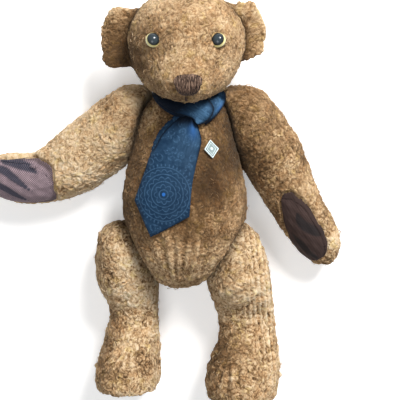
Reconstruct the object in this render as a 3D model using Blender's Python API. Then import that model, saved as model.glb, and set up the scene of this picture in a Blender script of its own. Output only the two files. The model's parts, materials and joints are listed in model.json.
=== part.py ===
"""A worn, disc-jointed teddy bear in knitted boucle, with woven paw pads, a necktie and a lapel pin.

The bear lies on its back: +Z points up from the surface to its face and belly, +Y runs from its
feet to its head, and +X points to its own left. Every size below is in millimetres and is made
metres when a piece is finished.

Each skin is a bag of knitted cloth with a real thickness, filled by its own stuffing. The head and
the limbs turn on discs: a bolt goes through a hardboard disc in the limb, both skins and a second
disc in the torso, and a lock nut draws the two flat lands of cloth together.
"""
import math

import bmesh
import bpy
import numpy as np
from mathutils import Matrix, Vector

MM = 0.001
UP = Vector((0.0, 0.0, 1.0))
ALONG = Vector((0.0, 1.0, 0.0))
ACROSS = Vector((1.0, 0.0, 0.0))

# The shapes are laid out from the crotch; this point under the bear becomes the part's origin.
LAYOUT_CENTRE = Vector((-24.4, 82.05, 0.0))

# Cloth, gaps and stuffing
GAP = 0.3
SKIN = 2.4
CORE_GAP = 0.5
FACET_ALLOWANCE = 0.3
TINY = 0.001
FAR = 400.0
MARGIN = 1.0
ROUND = 2.0

# Joint hardware: discs of hardboard, steel washers, a bolt and a lock nut
DISC_THICK = 3.0
WASHER_THICK = 1.0
WASHER_RADIUS = 8.0
BOLT_RADIUS = 2.4
HOLE_RADIUS = 3.0
SKIN_HOLE_RADIUS = 3.2
HEXAGON = 6
HEAD_RADIUS = 4.6
HEAD_THICK = 3.2
NUT_RADIUS = 4.8
NUT_THICK = 4.4
BOLT_SPARE = 1.6
DISC_START = GAP / 2 + SKIN + GAP
WASHER_START = DISC_START + DISC_THICK + GAP
END_START = WASHER_START + WASHER_THICK + GAP
ROOM = 0.6

# Joints: where the two lands meet, the way out of the torso, and the disc's radius
JOINTS = {
    "neck": (Vector((0.0, 197.0, 46.0)), Vector((0.0, 0.978, 0.208)), 15.5),
    "shoulder_left": (Vector((42.0, 160.0, 40.0)), Vector((0.94, 0.25, -0.2)), 16.0),
    "shoulder_right": (Vector((-44.0, 160.0, 40.0)), Vector((-0.94, 0.25, -0.2)), 16.0),
    "hip_left": (Vector((37.0, 35.0, 42.0)), Vector((0.837, -0.548, 0.0)), 16.5),
    "hip_right": (Vector((-44.5, 37.0, 41.0)), Vector((-0.888, -0.459, 0.0)), 16.5),
}

# Sections across the torso and legs: along, centre across, half width, centre up, half depth, lean
TORSO = (
    (-2.0, -6.0, 8.0, 47.0, 9.0, 0.0),
    (3.0, -6.0, 22.0, 47.0, 24.0, 0.0),
    (15.0, -5.0, 39.0, 48.5, 39.0, 0.0),
    (36.0, -3.0, 54.0, 51.0, 50.5, 0.0),
    (64.0, -1.0, 61.5, 53.0, 54.5, 0.0),
    (94.0, -1.0, 62.0, 51.5, 53.0, 0.0),
    (122.0, -2.0, 58.0, 46.5, 48.0, 0.0),
    (148.0, -2.0, 54.0, 42.0, 43.0, 0.0),
    (166.0, -1.0, 51.0, 41.5, 39.5, 0.0),
    (177.0, -1.0, 46.0, 42.5, 36.0, 0.0),
    (185.0, 0.0, 34.5, 44.0, 32.0, 0.0),
    (196.0, 0.0, 28.5, 46.0, 28.0, 0.0),
    (207.0, 0.0, 22.0, 47.0, 21.0, 0.0),
)
LEG_RIGHT = (
    (63.5, -67.0, 7.0, 37.0, 7.0, 0.0),
    (57.5, -65.5, 19.0, 37.0, 21.5, 0.0),
    (47.0, -62.5, 27.5, 37.0, 31.5, 0.0),
    (30.0, -61.0, 32.0, 36.0, 36.0, 0.0),
    (4.0, -61.0, 32.0, 34.0, 34.0, 0.0),
    (-8.0, -59.5, 30.5, 31.0, 31.0, 0.05),
    (-20.0, -55.5, 26.5, 28.5, 28.0, 0.10),
    (-36.0, -54.0, 25.0, 27.0, 26.5, 0.14),
    (-57.0, -57.0, 27.5, 32.0, 31.5, 0.18),
    (-76.0, -59.5, 31.0, 39.5, 39.5, 0.22),
    (-94.0, -60.5, 33.0, 43.5, 43.5, 0.24),
    (-108.0, -60.0, 31.0, 44.0, 42.5, 0.24),
    (-120.0, -59.0, 24.0, 44.0, 35.0, 0.24),
)
LEG_LEFT = (
    (66.0, 45.0, 6.0, 38.0, 6.0, 0.0),
    (60.0, 46.0, 16.0, 38.0, 20.0, 0.0),
    (49.0, 47.5, 25.5, 38.0, 31.0, 0.0),
    (27.0, 50.0, 32.0, 37.0, 36.5, 0.0),
    (2.0, 53.5, 33.5, 36.5, 37.0, 0.0),
    (-14.0, 57.0, 32.5, 33.0, 34.0, 0.04),
    (-28.0, 60.5, 30.5, 28.5, 28.0, 0.08),
    (-48.0, 64.0, 29.0, 28.0, 27.5, 0.12),
    (-66.0, 63.5, 31.5, 35.0, 34.5, 0.15),
    (-86.0, 59.5, 36.5, 42.0, 42.0, 0.18),
    (-104.0, 57.5, 38.0, 45.0, 44.5, 0.18),
    (-118.0, 57.5, 35.0, 45.5, 43.0, 0.18),
    (-129.0, 58.0, 27.0, 45.0, 35.0, 0.18),
)
# Soles: a point on the flat end of each foot and the way it faces
SOLES = {
    "left": (Vector((57.0, -122.0, 45.0)), Vector((0.0, -0.985, 0.17))),
    "right": (Vector((-60.0, -113.0, 45.0)), Vector((0.0, -0.985, 0.17))),
}

# Sections along each arm: centre, half width, half depth
ARM_RIGHT = (
    ((-26.0, 182.0, 43.0), 11.0, 11.0),
    ((-34.0, 178.0, 42.0), 25.0, 24.0),
    ((-49.5, 168.5, 39.0), 35.0, 29.5),
    ((-70.0, 155.5, 33.0), 34.0, 30.0),
    ((-91.0, 139.5, 28.5), 33.5, 29.0),
    ((-111.0, 125.5, 27.0), 33.5, 27.5),
    ((-129.0, 113.5, 26.0), 30.5, 26.0),
    ((-150.0, 105.5, 25.0), 26.0, 24.5),
    ((-166.0, 106.0, 25.0), 26.5, 24.5),
    ((-182.0, 108.0, 24.5), 24.5, 22.5),
    ((-197.0, 109.5, 24.0), 19.5, 18.0),
    ((-209.0, 110.5, 23.5), 5.0, 5.0),
)
ARM_LEFT = (
    ((33.0, 191.0, 42.0), 10.0, 11.0),
    ((39.0, 184.5, 41.0), 24.0, 23.5),
    ((51.5, 173.5, 39.0), 33.5, 29.5),
    ((66.0, 157.0, 35.0), 33.5, 30.5),
    ((80.0, 140.0, 30.0), 33.0, 30.0),
    ((92.0, 121.0, 28.0), 31.5, 28.0),
    ((103.0, 98.5, 26.5), 28.5, 26.0),
    ((114.0, 77.0, 25.5), 26.5, 25.0),
    ((126.0, 58.0, 25.0), 25.5, 24.5),
    ((137.0, 41.0, 24.5), 23.0, 22.5),
    ((145.0, 27.5, 24.0), 18.0, 18.0),
    ((151.0, 16.0, 23.5), 5.0, 5.0),
)
# Paw pads: middle, the way to the tip, the way the pad faces; then their half length and width.
# A pad reaches in from the arm's surface as far as PAD_FLOOR from the arm's middle.
PAW_PADS = {
    "left": (Vector((122.0, 60.5, 25.0)), Vector((0.46, -0.89, 0.0)), Vector((-0.58, -0.38, 0.72))),
    "right": (Vector((-175.0, 106.0, 25.0)), Vector((-1.0, 0.03, 0.0)), Vector((0.0, -0.25, 0.97))),
}
PAD_HALF_LENGTH = 39.5
PAD_HALF_WIDTH = 21.5
PAD_SQUARENESS = 3.0
PAD_FLOOR = 4.0
SEAM = 0.4

# Head: middle, how far the face is bowed to the chest, and ovals that add up to its form.
# Each oval: middle and radii across, towards the crown, and out through the face.
HEAD_CENTRE = Vector((1.0, 238.0, 60.0))
HEAD_BOW = math.radians(22.0)
HEAD_OVALS = (
    ((0.0, 5.0, -3.0), (57.0, 48.5, 50.0)),
    ((0.0, -14.0, 8.0), (47.0, 35.0, 42.0)),
    ((0.0, -16.0, 34.0), (31.5, 23.5, 39.0)),
    ((0.0, 8.0, 26.0), (37.0, 28.0, 23.0)),
)
BLEND_POWER = 9.0
EYE_PLACE = (31.3, 19.5, 41.0)
EYE_RADIUS = 7.0
EYE_SINK = 2.6
SHANK_RADIUS = 0.9
SHANK_LENGTH = 16.0
SHANK_HOLE = 1.4
SHANK_TOP = 1.5
HOLE_TOP = 4.0
NOSE_PLACE = (2.5, -11.0, 72.0)
NOSE_WIDTH = 23.5
NOSE_HEIGHT = 19.0
NOSE_THICK = 2.6
NOSE_SQUARENESS = 2.8
NOSE_TAPER = 0.22
MOUTH_PLACE = (0.5, -25.0, 68.0)
MOUTH_WIDTH = 2.2
MOUTH_HEIGHT = 5.0
MOUTH_THICK = 1.0
MOUTH_SQUARENESS = 3.0
PATCH_REACH = 12.0
# Ears: middle, the way the cup faces, half width, half height, and the turn in that plane.
# The lower outer corner is drawn out to a point, as two layers of cloth seamed there make it.
EARS = {
    "left": (Vector((55.0, 253.0, 58.0)), Vector((0.30, -0.05, 0.95)), 24.0, 31.5, -0.12),
    "right": (Vector((-59.0, 246.5, 58.0)), Vector((-0.30, -0.05, 0.95)), 24.5, 30.5, 0.12),
}
EAR_THICK = 11.0
EAR_CUP = 7.5
EAR_CORNER = 0.12
EAR_CORNER_POWER = 6
EAR_BLUNTNESS = 0.7

# Necktie: thickness of the folded silk, the blade's outline from the front, the band's from the side
SILK = 3.2
TIE_REST = 0.5
BLADE_LOW = 60.0
BAND_BELOW_NECK = 2.0
BAND_LOWER_EDGE = ((164.0, 100.0), (171.0, 84.0), (184.5, 46.0), (189.0, 14.0), (190.0, -5.0))
BLADE_OUTLINE = (
    (15.0, 171.0), (-4.0, 172.0), (-19.0, 160.0), (-28.0, 147.0), (-35.0, 126.0),
    (-44.0, 103.0), (-48.0, 92.0), (-32.0, 57.5), (5.5, 80.0), (9.5, 122.0), (15.0, 147.0),
)
KNOT_CENTRE = Vector((22.5, 175.5, 76.5))
KNOT_RADII = Vector((15.5, 14.0, 9.5))

# Lapel pin: its middle on the chest, its diamond plate, and the post that goes through the cloth
PIN_PLACE = (24.5, 139.5)
PIN_HALF_WIDTH = 7.6
PIN_HALF_HEIGHT = 9.0
PIN_THICK = 1.6
PIN_LIFT = 0.9
POST_RADIUS = 0.6
POST_LENGTH = 8.0
POST_HOLE = 1.1

# Detail of each mesh
FINE_SIDES = 20
COARSE_SIDES = 10
RING_SIDES = 8
DISC_SIDES = 10
OVAL_SIDES = 18
HEAD_FINE = (20, 15)
HEAD_COARSE = (12, 9)
EYE_DETAIL = (14, 8)
EAR_DETAIL = (18, 8)
KNOT_DETAIL = (12, 8)
SMOOTH_ANGLE = 40.0
HARDWARE_ANGLE = 31.0
PIN_ANGLE = 20.0
SLOPE_STEP = 0.02

FINISHES = {
    "boucle": ((0.52, 0.33, 0.16, 1.0), 0.95, 0.0),
    "stuffing": ((0.86, 0.84, 0.78, 1.0), 0.95, 0.0),
    "pad_twill": ((0.27, 0.16, 0.13, 1.0), 0.9, 0.0),
    "eye_glass": ((0.03, 0.02, 0.01, 1.0), 0.06, 0.0),
    "nose_thread": ((0.13, 0.07, 0.05, 1.0), 0.6, 0.0),
    "tie_silk": ((0.05, 0.10, 0.20, 1.0), 0.4, 0.0),
    "pin_metal": ((0.70, 0.70, 0.68, 1.0), 0.3, 1.0),
    "hardboard": ((0.42, 0.28, 0.17, 1.0), 0.7, 0.0),
    "joint_steel": ((0.62, 0.62, 0.63, 1.0), 0.35, 1.0),
}


# ---------------------------------------------------------------- scene and pieces

def clear_scene():
    """Remove whatever the file holds, so that the part starts from nothing."""
    for thing in list(bpy.data.objects):
        bpy.data.objects.remove(thing, do_unlink=True)


def make_finish(name):
    """A plain material with the finish's colour, roughness and metal value."""
    colour, roughness, metallic = FINISHES[name]
    material = bpy.data.materials.new(name)
    material.use_nodes = True
    shader = material.node_tree.nodes["Principled BSDF"]
    shader.inputs["Base Color"].default_value = colour
    shader.inputs["Roughness"].default_value = roughness
    shader.inputs["Metallic"].default_value = metallic
    material.diffuse_color = colour
    return material


def in_metres(matrix):
    """A placing in millimetres from the crotch, as one in metres from the part's origin."""
    placed = matrix.copy()
    placed.translation = (matrix.translation - LAYOUT_CENTRE) * MM
    return placed


def joint_matrix(name):
    """A joint's place, with its own Z along the axis that leads out of the torso."""
    centre, axis, _ = JOINTS[name]
    return Matrix.Translation(centre) @ axis.to_track_quat("Z", "Y").to_matrix().to_4x4()


def add_pivots():
    """An empty at the torso's origin and one on each joint's axis, for the pieces that turn."""
    pivots = {}
    places = {"torso": Matrix.Translation(LAYOUT_CENTRE)}
    places.update({name: joint_matrix(name) for name in JOINTS})
    for name, place in places.items():
        empty = bpy.data.objects.new("pivot_" + name, None)
        empty.empty_display_size = 20 * MM
        bpy.context.collection.objects.link(empty)
        empty.matrix_world = in_metres(place)
        pivots[name] = (empty, place)
    return pivots


def add_piece(name, bm, material, pivot, smooth_angle=SMOOTH_ANGLE):
    """Finish a body laid out in millimetres as an object with its origin at the pivot."""
    empty, place = pivot
    bmesh.ops.remove_doubles(bm, verts=bm.verts, dist=TINY)
    bmesh.ops.dissolve_degenerate(bm, edges=bm.edges, dist=TINY)
    bmesh.ops.triangulate(bm, faces=bm.faces)
    bmesh.ops.transform(bm, matrix=Matrix.Scale(MM, 4) @ place.inverted(), verts=bm.verts)
    mesh = bpy.data.meshes.new(name)
    bm.to_mesh(mesh)
    bm.free()
    mesh.shade_smooth()
    mesh.set_sharp_from_angle(angle=math.radians(smooth_angle))
    mesh.materials.append(material)
    piece = bpy.data.objects.new(name, mesh)
    bpy.context.collection.objects.link(piece)
    piece.parent = empty
    return piece


# ---------------------------------------------------------------- solids

def combine(base, cutter, operation):
    """Join, cut or intersect two closed bodies, and leave both of them as they were."""
    stand_ins = []
    for bm in (base, cutter):
        mesh = bpy.data.meshes.new("cut")
        bm.to_mesh(mesh)
        stand_in = bpy.data.objects.new("cut", mesh)
        stand_in.hide_render = True
        stand_in.display_type = "WIRE"
        bpy.context.collection.objects.link(stand_in)
        stand_ins.append(stand_in)
    kept, tool = stand_ins
    boolean = kept.modifiers.new("cut", "BOOLEAN")
    boolean.operation = operation
    boolean.solver = "EXACT"
    boolean.object = tool
    result = bmesh.new()
    result.from_object(kept, bpy.context.evaluated_depsgraph_get())
    for stand_in in stand_ins:
        mesh = stand_in.data
        bpy.data.objects.remove(stand_in, do_unlink=True)
        bpy.data.meshes.remove(mesh)
    bmesh.ops.remove_doubles(result, verts=result.verts, dist=TINY)
    return result


def cut(base, *cutters):
    """Take each cutter away from a body."""
    for cutter in cutters:
        base = combine(base, cutter, "DIFFERENCE")
    return base


def facing(point, direction, turn=None):
    """A placing at a point whose Z runs along a direction, and whose X runs along turn if given."""
    z = Vector(direction).normalized()
    if turn is None:
        return Matrix.Translation(point) @ z.to_track_quat("Z", "Y").to_matrix().to_4x4()
    y = z.cross(Vector(turn)).normalized()
    x = y.cross(z)
    turned = Matrix((x, y, z)).transposed().to_4x4()
    return Matrix.Translation(point) @ turned


def cylinder(place, radius, low, high, sides=RING_SIDES):
    """A closed cylinder along a placing's Z, from low to high."""
    bm = bmesh.new()
    middle = place @ Matrix.Translation((0.0, 0.0, (low + high) / 2))
    bmesh.ops.create_cone(
        bm, cap_ends=True, segments=sides, radius1=radius, radius2=radius,
        depth=high - low, matrix=middle,
    )
    return bm


def ring(place, radius, hole, low, high, sides):
    """A flat ring with a round hole: a disc or a washer."""
    bm = bmesh.new()
    for size in (radius, hole):
        bmesh.ops.create_circle(
            bm, segments=sides, radius=size, matrix=place @ Matrix.Translation((0.0, 0.0, low))
        )
    face = bmesh.ops.bridge_loops(bm, edges=bm.edges)["faces"]
    walls = bmesh.ops.extrude_face_region(bm, geom=face)["geom"]
    lift = place.to_3x3() @ Vector((0.0, 0.0, high - low))
    bmesh.ops.translate(bm, vec=lift, verts=[v for v in walls if isinstance(v, bmesh.types.BMVert)])
    bmesh.ops.recalc_face_normals(bm, faces=bm.faces)
    return bm


def prism(place, outline, low, high):
    """A closed straight block with a flat outline, along a placing's Z."""
    bm = bmesh.new()
    corners = [bm.verts.new(place @ Vector((x, y, low))) for x, y in outline]
    face = bm.faces.new(corners)
    walls = bmesh.ops.extrude_face_region(bm, geom=[face])["geom"]
    lift = place.to_3x3() @ Vector((0.0, 0.0, high - low))
    bmesh.ops.translate(bm, vec=lift, verts=[v for v in walls if isinstance(v, bmesh.types.BMVert)])
    bmesh.ops.recalc_face_normals(bm, faces=bm.faces)
    return bm


def oval_outline(half_length, half_width, squareness=ROUND):
    """Corners of an oval; a squareness above 2 makes it squarer."""
    corners = []
    for index in range(OVAL_SIDES):
        angle = 2 * math.pi * index / OVAL_SIDES
        reach_x = math.copysign(abs(math.cos(angle)) ** (ROUND / squareness), math.cos(angle))
        reach_y = math.copysign(abs(math.sin(angle)) ** (ROUND / squareness), math.sin(angle))
        corners.append((half_length * reach_x, half_width * reach_y))
    return corners


def trim(bm, point, outward):
    """Cut a closed body off flat where it passes a plane, and close the cut."""
    outward = Vector(outward).normalized()
    whole = list(bm.verts) + list(bm.edges) + list(bm.faces)
    bmesh.ops.bisect_plane(
        bm, geom=whole, dist=TINY, plane_co=point, plane_no=outward, clear_outer=True
    )
    rim = [edge for edge in bm.edges if edge.is_boundary]
    bmesh.ops.holes_fill(bm, edges=rim, sides=0)
    bmesh.ops.recalc_face_normals(bm, faces=bm.faces)
    return bm


def swell(bm, amount):
    """Move a closed body's surface out, or in if the amount is negative."""
    bm.normal_update()
    moves = [vert.normal * (vert.calc_shell_factor() * amount) for vert in bm.verts]
    for vert, move in zip(bm.verts, moves):
        vert.co += move
    return bm


# ---------------------------------------------------------------- soft forms

def loft(sections, sides):
    """A closed form through oval sections, each a centre and its half width and half depth."""
    bm = bmesh.new()
    loops = []
    for centre, wide, deep in sections:
        size = Matrix((wide, deep, wide.cross(deep).normalized())).transposed().to_4x4()
        made = bmesh.ops.create_circle(
            bm, cap_ends=False, segments=sides, radius=1.0, matrix=Matrix.Translation(centre) @ size
        )["verts"]
        loops.append(list({edge for vert in made for edge in vert.link_edges}))
    for start, end in zip(loops, loops[1:]):
        bmesh.ops.bridge_loops(bm, edges=start + end)
    for loop in (loops[0], loops[-1]):
        bmesh.ops.edgeloop_fill(bm, edges=loop)
    bmesh.ops.recalc_face_normals(bm, faces=bm.faces)
    return bm


def standing_sections(rows):
    """Sections square to Y for the torso and legs; lean tips an oval's top towards -X."""
    sections = []
    for along, x, half_width, z, half_depth, lean in rows:
        deep = Vector((-lean, 0.0, 1.0)).normalized()
        across = ALONG.cross(deep)
        sections.append((Vector((x, along, z)), across * half_width, deep * half_depth))
    return sections


def arm_sections(rows):
    """Sections square to the arm's own line."""
    centres = [Vector(row[0]) for row in rows]
    sections = []
    for index, (centre, half_width, half_depth) in enumerate(rows):
        onward = centres[min(index + 1, len(rows) - 1)] - centres[max(index - 1, 0)]
        across = UP.cross(onward).normalized()
        deep = onward.cross(across).normalized()
        sections.append((Vector(centre), across * half_width, deep * half_depth))
    return sections


def head_frame():
    """The head's own axes: across, towards the crown, and out through the face."""
    crown = Vector((0.0, math.cos(HEAD_BOW), math.sin(HEAD_BOW)))
    face = Vector((0.0, -math.sin(HEAD_BOW), math.cos(HEAD_BOW)))
    return Matrix.Translation(HEAD_CENTRE) @ Matrix((ACROSS, crown, face)).transposed().to_4x4()


def head_reach(way):
    """How far the head reaches from its middle along a direction in its own axes."""
    total = 0.0
    for middle, radii in HEAD_OVALS:
        a = sum((w / r) ** 2 for w, r in zip(way, radii))
        b = -2 * sum(w * m / r ** 2 for w, m, r in zip(way, middle, radii))
        c = sum((m / r) ** 2 for m, r in zip(middle, radii)) - 1
        root = b * b - 4 * a * c
        if root > 0:
            reach = (-b + math.sqrt(root)) / (2 * a)
            total += max(reach, 0.0) ** BLEND_POWER
    return total ** (1 / BLEND_POWER)


def head_form(extra, detail=HEAD_FINE):
    """The head as one closed form, swollen by extra."""
    bm = bmesh.new()
    bmesh.ops.create_uvsphere(bm, u_segments=detail[0], v_segments=detail[1], radius=1.0)
    for vert in bm.verts:
        way = vert.co.normalized()
        vert.co = way * head_reach(way)
    bmesh.ops.transform(bm, matrix=head_frame(), verts=bm.verts)
    return swell(bm, extra)


SECTIONS = {
    "torso": standing_sections(TORSO),
    "leg_left": standing_sections(LEG_LEFT),
    "leg_right": standing_sections(LEG_RIGHT),
    "arm_left": arm_sections(ARM_LEFT),
    "arm_right": arm_sections(ARM_RIGHT),
}
JOINTS_OF = {
    "torso": list(JOINTS),
    "head": ["neck"],
    "leg_left": ["hip_left"],
    "leg_right": ["hip_right"],
    "arm_left": ["shoulder_left"],
    "arm_right": ["shoulder_right"],
}


def body_form(part, inset, fine):
    """A soft part's closed form, inset from its true surface and trimmed at its flat places."""
    if part == "head":
        bm = head_form(-inset, HEAD_FINE if fine else HEAD_COARSE)
    else:
        bm = swell(loft(SECTIONS[part], FINE_SIDES if fine else COARSE_SIDES), -inset)
    for name in JOINTS_OF[part]:
        centre, axis, _ = JOINTS[name]
        side = 1.0 if part == "torso" else -1.0
        trim(bm, centre - axis.normalized() * side * (GAP / 2 + inset), axis * side)
    if part.startswith("leg"):
        point, outward = SOLES[part.split("_")[1]]
        trim(bm, point - outward.normalized() * inset, outward)
    return trim(bm, Vector((0.0, 0.0, inset)), -UP)


def make_skin(part):
    """A soft part's cloth: its outer form less the room inside, with a hole at each joint."""
    room = body_form(part, SKIN, fine=False)
    skin = cut(body_form(part, 0.0, fine=True), room)
    for name in JOINTS_OF[part]:
        reach = DISC_START + MARGIN
        skin = cut(skin, cylinder(joint_matrix(name), SKIN_HOLE_RADIUS, -reach, reach))
    return skin


def make_core(part):
    """A soft part's stuffing, with room for the discs, washers, bolt ends and nuts."""
    core = body_form(part, SKIN + CORE_GAP, fine=False)
    for name in JOINTS_OF[part]:
        place = joint_matrix(name)
        radius = JOINTS[name][2]
        side = -1.0 if part == "torso" else 1.0
        disc_end = side * (WASHER_START + GAP)
        deep = END_START + NUT_THICK + BOLT_SPARE + ROOM
        disc_room = sorted((0.0, disc_end))
        end_room = sorted((0.0, side * deep))
        core = cut(core, cylinder(place, radius + ROOM, *disc_room, DISC_SIDES))
        core = cut(core, cylinder(place, WASHER_RADIUS + ROOM, *end_room))
    return core


def split_panel(skin, block, smaller_block):
    """Cut a window in a skin, and make the panel that fills it with a seam's gap around it."""
    return cut(skin, block), combine(skin, smaller_block, "INTERSECT")


# ---------------------------------------------------------------- joints

def add_joint_hardware(name, pivots, materials):
    """One disc joint's discs, washers, bolt and lock nut, stacked along its axis."""
    place = joint_matrix(name)
    radius = JOINTS[name][2]
    limb, torso = pivots[name], pivots["torso"]
    for label, side, pivot in (("limb", 1.0, limb), ("torso", -1.0, torso)):
        disc_span = sorted((side * DISC_START, side * (DISC_START + DISC_THICK)))
        washer_span = sorted((side * WASHER_START, side * (WASHER_START + WASHER_THICK)))
        disc = ring(place, radius, HOLE_RADIUS, *disc_span, DISC_SIDES)
        add_piece(f"{name}_disc_{label}", disc, materials["hardboard"], pivot)
        washer = ring(place, WASHER_RADIUS, HOLE_RADIUS, *washer_span, RING_SIDES)
        add_piece(f"{name}_washer_{label}", washer, materials["joint_steel"], pivot)
    nut_end = END_START + NUT_THICK
    shank = cylinder(place, BOLT_RADIUS, -nut_end - BOLT_SPARE, END_START + HEAD_THICK / 2)
    head = cylinder(place, HEAD_RADIUS, END_START, END_START + HEAD_THICK, HEXAGON)
    bolt = combine(head, shank, "UNION")
    add_piece(f"{name}_bolt", bolt, materials["joint_steel"], limb, HARDWARE_ANGLE)
    thread = cylinder(place, HOLE_RADIUS, -nut_end - MARGIN, -END_START + MARGIN)
    nut = cut(cylinder(place, NUT_RADIUS, -nut_end, -END_START, HEXAGON), thread)
    add_piece(f"{name}_nut", nut, materials["joint_steel"], limb, HARDWARE_ANGLE)


# ---------------------------------------------------------------- limbs

def add_arm(side, pivots, materials):
    """An arm: its skin with a woven paw pad sewn into it, and its stuffing."""
    part = f"arm_{side}"
    pivot = pivots[f"shoulder_{side}"]
    middle, onward, outward = PAW_PADS[side]
    place = facing(middle, outward, turn=onward)
    outline = oval_outline(PAD_HALF_LENGTH, PAD_HALF_WIDTH, PAD_SQUARENESS)
    window = prism(place, outline, PAD_FLOOR, FAR)
    inner_outline = oval_outline(PAD_HALF_LENGTH - SEAM, PAD_HALF_WIDTH - SEAM, PAD_SQUARENESS)
    inner = prism(place, inner_outline, PAD_FLOOR + SEAM, FAR)
    skin, pad = split_panel(make_skin(part), window, inner)
    add_piece(f"{part}_skin", skin, materials["boucle"], pivot)
    add_piece(f"{part}_paw_pad", pad, materials["pad_twill"], pivot)
    add_piece(f"{part}_stuffing", make_core(part), materials["stuffing"], pivot)


def add_leg(side, pivots, materials):
    """A leg: its skin with a woven sole sewn over the foot's end, and its stuffing."""
    part = f"leg_{side}"
    pivot = pivots[f"hip_{side}"]
    point, outward = SOLES[side]
    place = facing(point, outward)
    seam_depth = SKIN + GAP
    window = cylinder(place, FAR, -seam_depth, FAR, sides=4)
    inner = cylinder(place, FAR, -seam_depth + GAP, FAR, sides=4)
    skin, pad = split_panel(make_skin(part), window, inner)
    add_piece(f"{part}_skin", skin, materials["boucle"], pivot)
    add_piece(f"{part}_foot_pad", pad, materials["pad_twill"], pivot)
    add_piece(f"{part}_stuffing", make_core(part), materials["stuffing"], pivot)


# ---------------------------------------------------------------- head

def on_head(place_in_head):
    """A point at the head's surface towards a place in its own axes, and the way out there."""
    way = Vector(place_in_head).normalized()
    frame = head_frame()
    surface = frame @ (way * head_reach(way))
    spots = []
    for step in (ACROSS * SLOPE_STEP, ALONG * SLOPE_STEP):
        moved = (way + step).normalized()
        spots.append(moved * head_reach(moved))
    middle = way * head_reach(way)
    outward = (spots[0] - middle).cross(spots[1] - middle).normalized()
    if outward.dot(way) < 0:
        outward = -outward
    return surface, frame.to_3x3() @ outward


def make_eye(side):
    """A glass eye: a domed bead that sits on the cloth, with its wire shank behind it."""
    x, y, z = EYE_PLACE
    surface, outward = on_head((side * x, y, z))
    place = facing(surface, outward)
    bm = bmesh.new()
    bmesh.ops.create_uvsphere(
        bm, u_segments=EYE_DETAIL[0], v_segments=EYE_DETAIL[1], radius=EYE_RADIUS,
        matrix=place @ Matrix.Translation((0.0, 0.0, -EYE_SINK)),
    )
    bead = cut(bm, head_form(GAP + FACET_ALLOWANCE))
    shank = cylinder(place, SHANK_RADIUS, -SHANK_LENGTH, SHANK_TOP)
    return combine(bead, shank, "UNION"), place


def make_patch(place_in_head, outline, thick):
    """Stitching that lies on the head: a flat outline carried onto its curved surface."""
    surface, outward = on_head(place_in_head)
    crown = head_frame().to_3x3() @ ALONG
    y = (crown - outward * crown.dot(outward)).normalized()
    place = facing(surface, outward, turn=y.cross(outward))
    block = prism(place, outline, -PATCH_REACH, PATCH_REACH)
    patch = combine(head_form(GAP + thick), block, "INTERSECT")
    return cut(patch, head_form(GAP))


def nose_outline():
    """The nose's front view: wide and nearly straight at the brow, rounded and narrower below."""
    corners = []
    for x, y in oval_outline(NOSE_WIDTH / 2, NOSE_HEIGHT / 2, NOSE_SQUARENESS):
        taper = 1.0 + NOSE_TAPER * y / (NOSE_HEIGHT / 2)
        corners.append((x * taper, y))
    return corners


def make_ear(side):
    """A cupped ear of doubled cloth, cut to the head's side where it is sewn on."""
    centre, outward, half_width, half_height, turn = EARS[side]
    bm = bmesh.new()
    bmesh.ops.create_uvsphere(bm, u_segments=EAR_DETAIL[0], v_segments=EAR_DETAIL[1], radius=1.0)
    for vert in bm.verts:
        flat = math.copysign(abs(vert.co.z) ** EAR_BLUNTNESS, vert.co.z)
        spread = vert.co.x ** 2 + vert.co.y ** 2
        outer = -vert.co.x if side == "right" else vert.co.x
        low_outer = max(0.0, (outer - vert.co.y) / math.sqrt(2))
        corner = 1 + EAR_CORNER * low_outer ** EAR_CORNER_POWER
        x = vert.co.x * half_width * corner
        y = vert.co.y * half_height * corner
        vert.co = Vector((x, y, flat * EAR_THICK / 2 + (spread - 0.5) * EAR_CUP))
    across = Vector((math.cos(turn), math.sin(turn), 0.0))
    bmesh.ops.transform(bm, matrix=facing(centre, outward, turn=across), verts=bm.verts)
    return cut(bm, head_form(GAP + FACET_ALLOWANCE))


def add_head(pivots, materials):
    """The head: skin, stuffing, ears, glass eyes, and the stitched nose and mouth."""
    pivot = pivots["neck"]
    skin, core = make_skin("head"), make_core("head")
    for label, side in (("left", 1.0), ("right", -1.0)):
        eye, place = make_eye(side)
        skin = cut(skin, cylinder(place, SHANK_HOLE, -SHANK_LENGTH, HOLE_TOP))
        core = cut(core, cylinder(place, SHANK_HOLE, -SHANK_LENGTH - ROOM, HOLE_TOP))
        add_piece(f"eye_{label}", eye, materials["eye_glass"], pivot)
        add_piece(f"ear_{label}", make_ear(label), materials["boucle"], pivot)
    add_piece("head_skin", skin, materials["boucle"], pivot)
    add_piece("head_stuffing", core, materials["stuffing"], pivot)
    nose = make_patch(NOSE_PLACE, nose_outline(), NOSE_THICK)
    add_piece("nose_stitching", nose, materials["nose_thread"], pivot)
    mouth_outline = oval_outline(MOUTH_WIDTH / 2, MOUTH_HEIGHT / 2, MOUTH_SQUARENESS)
    mouth = make_patch(MOUTH_PLACE, mouth_outline, MOUTH_THICK)
    add_piece("mouth_stitch", mouth, materials["nose_thread"], pivot)


# ---------------------------------------------------------------- torso, tie and pin

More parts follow.
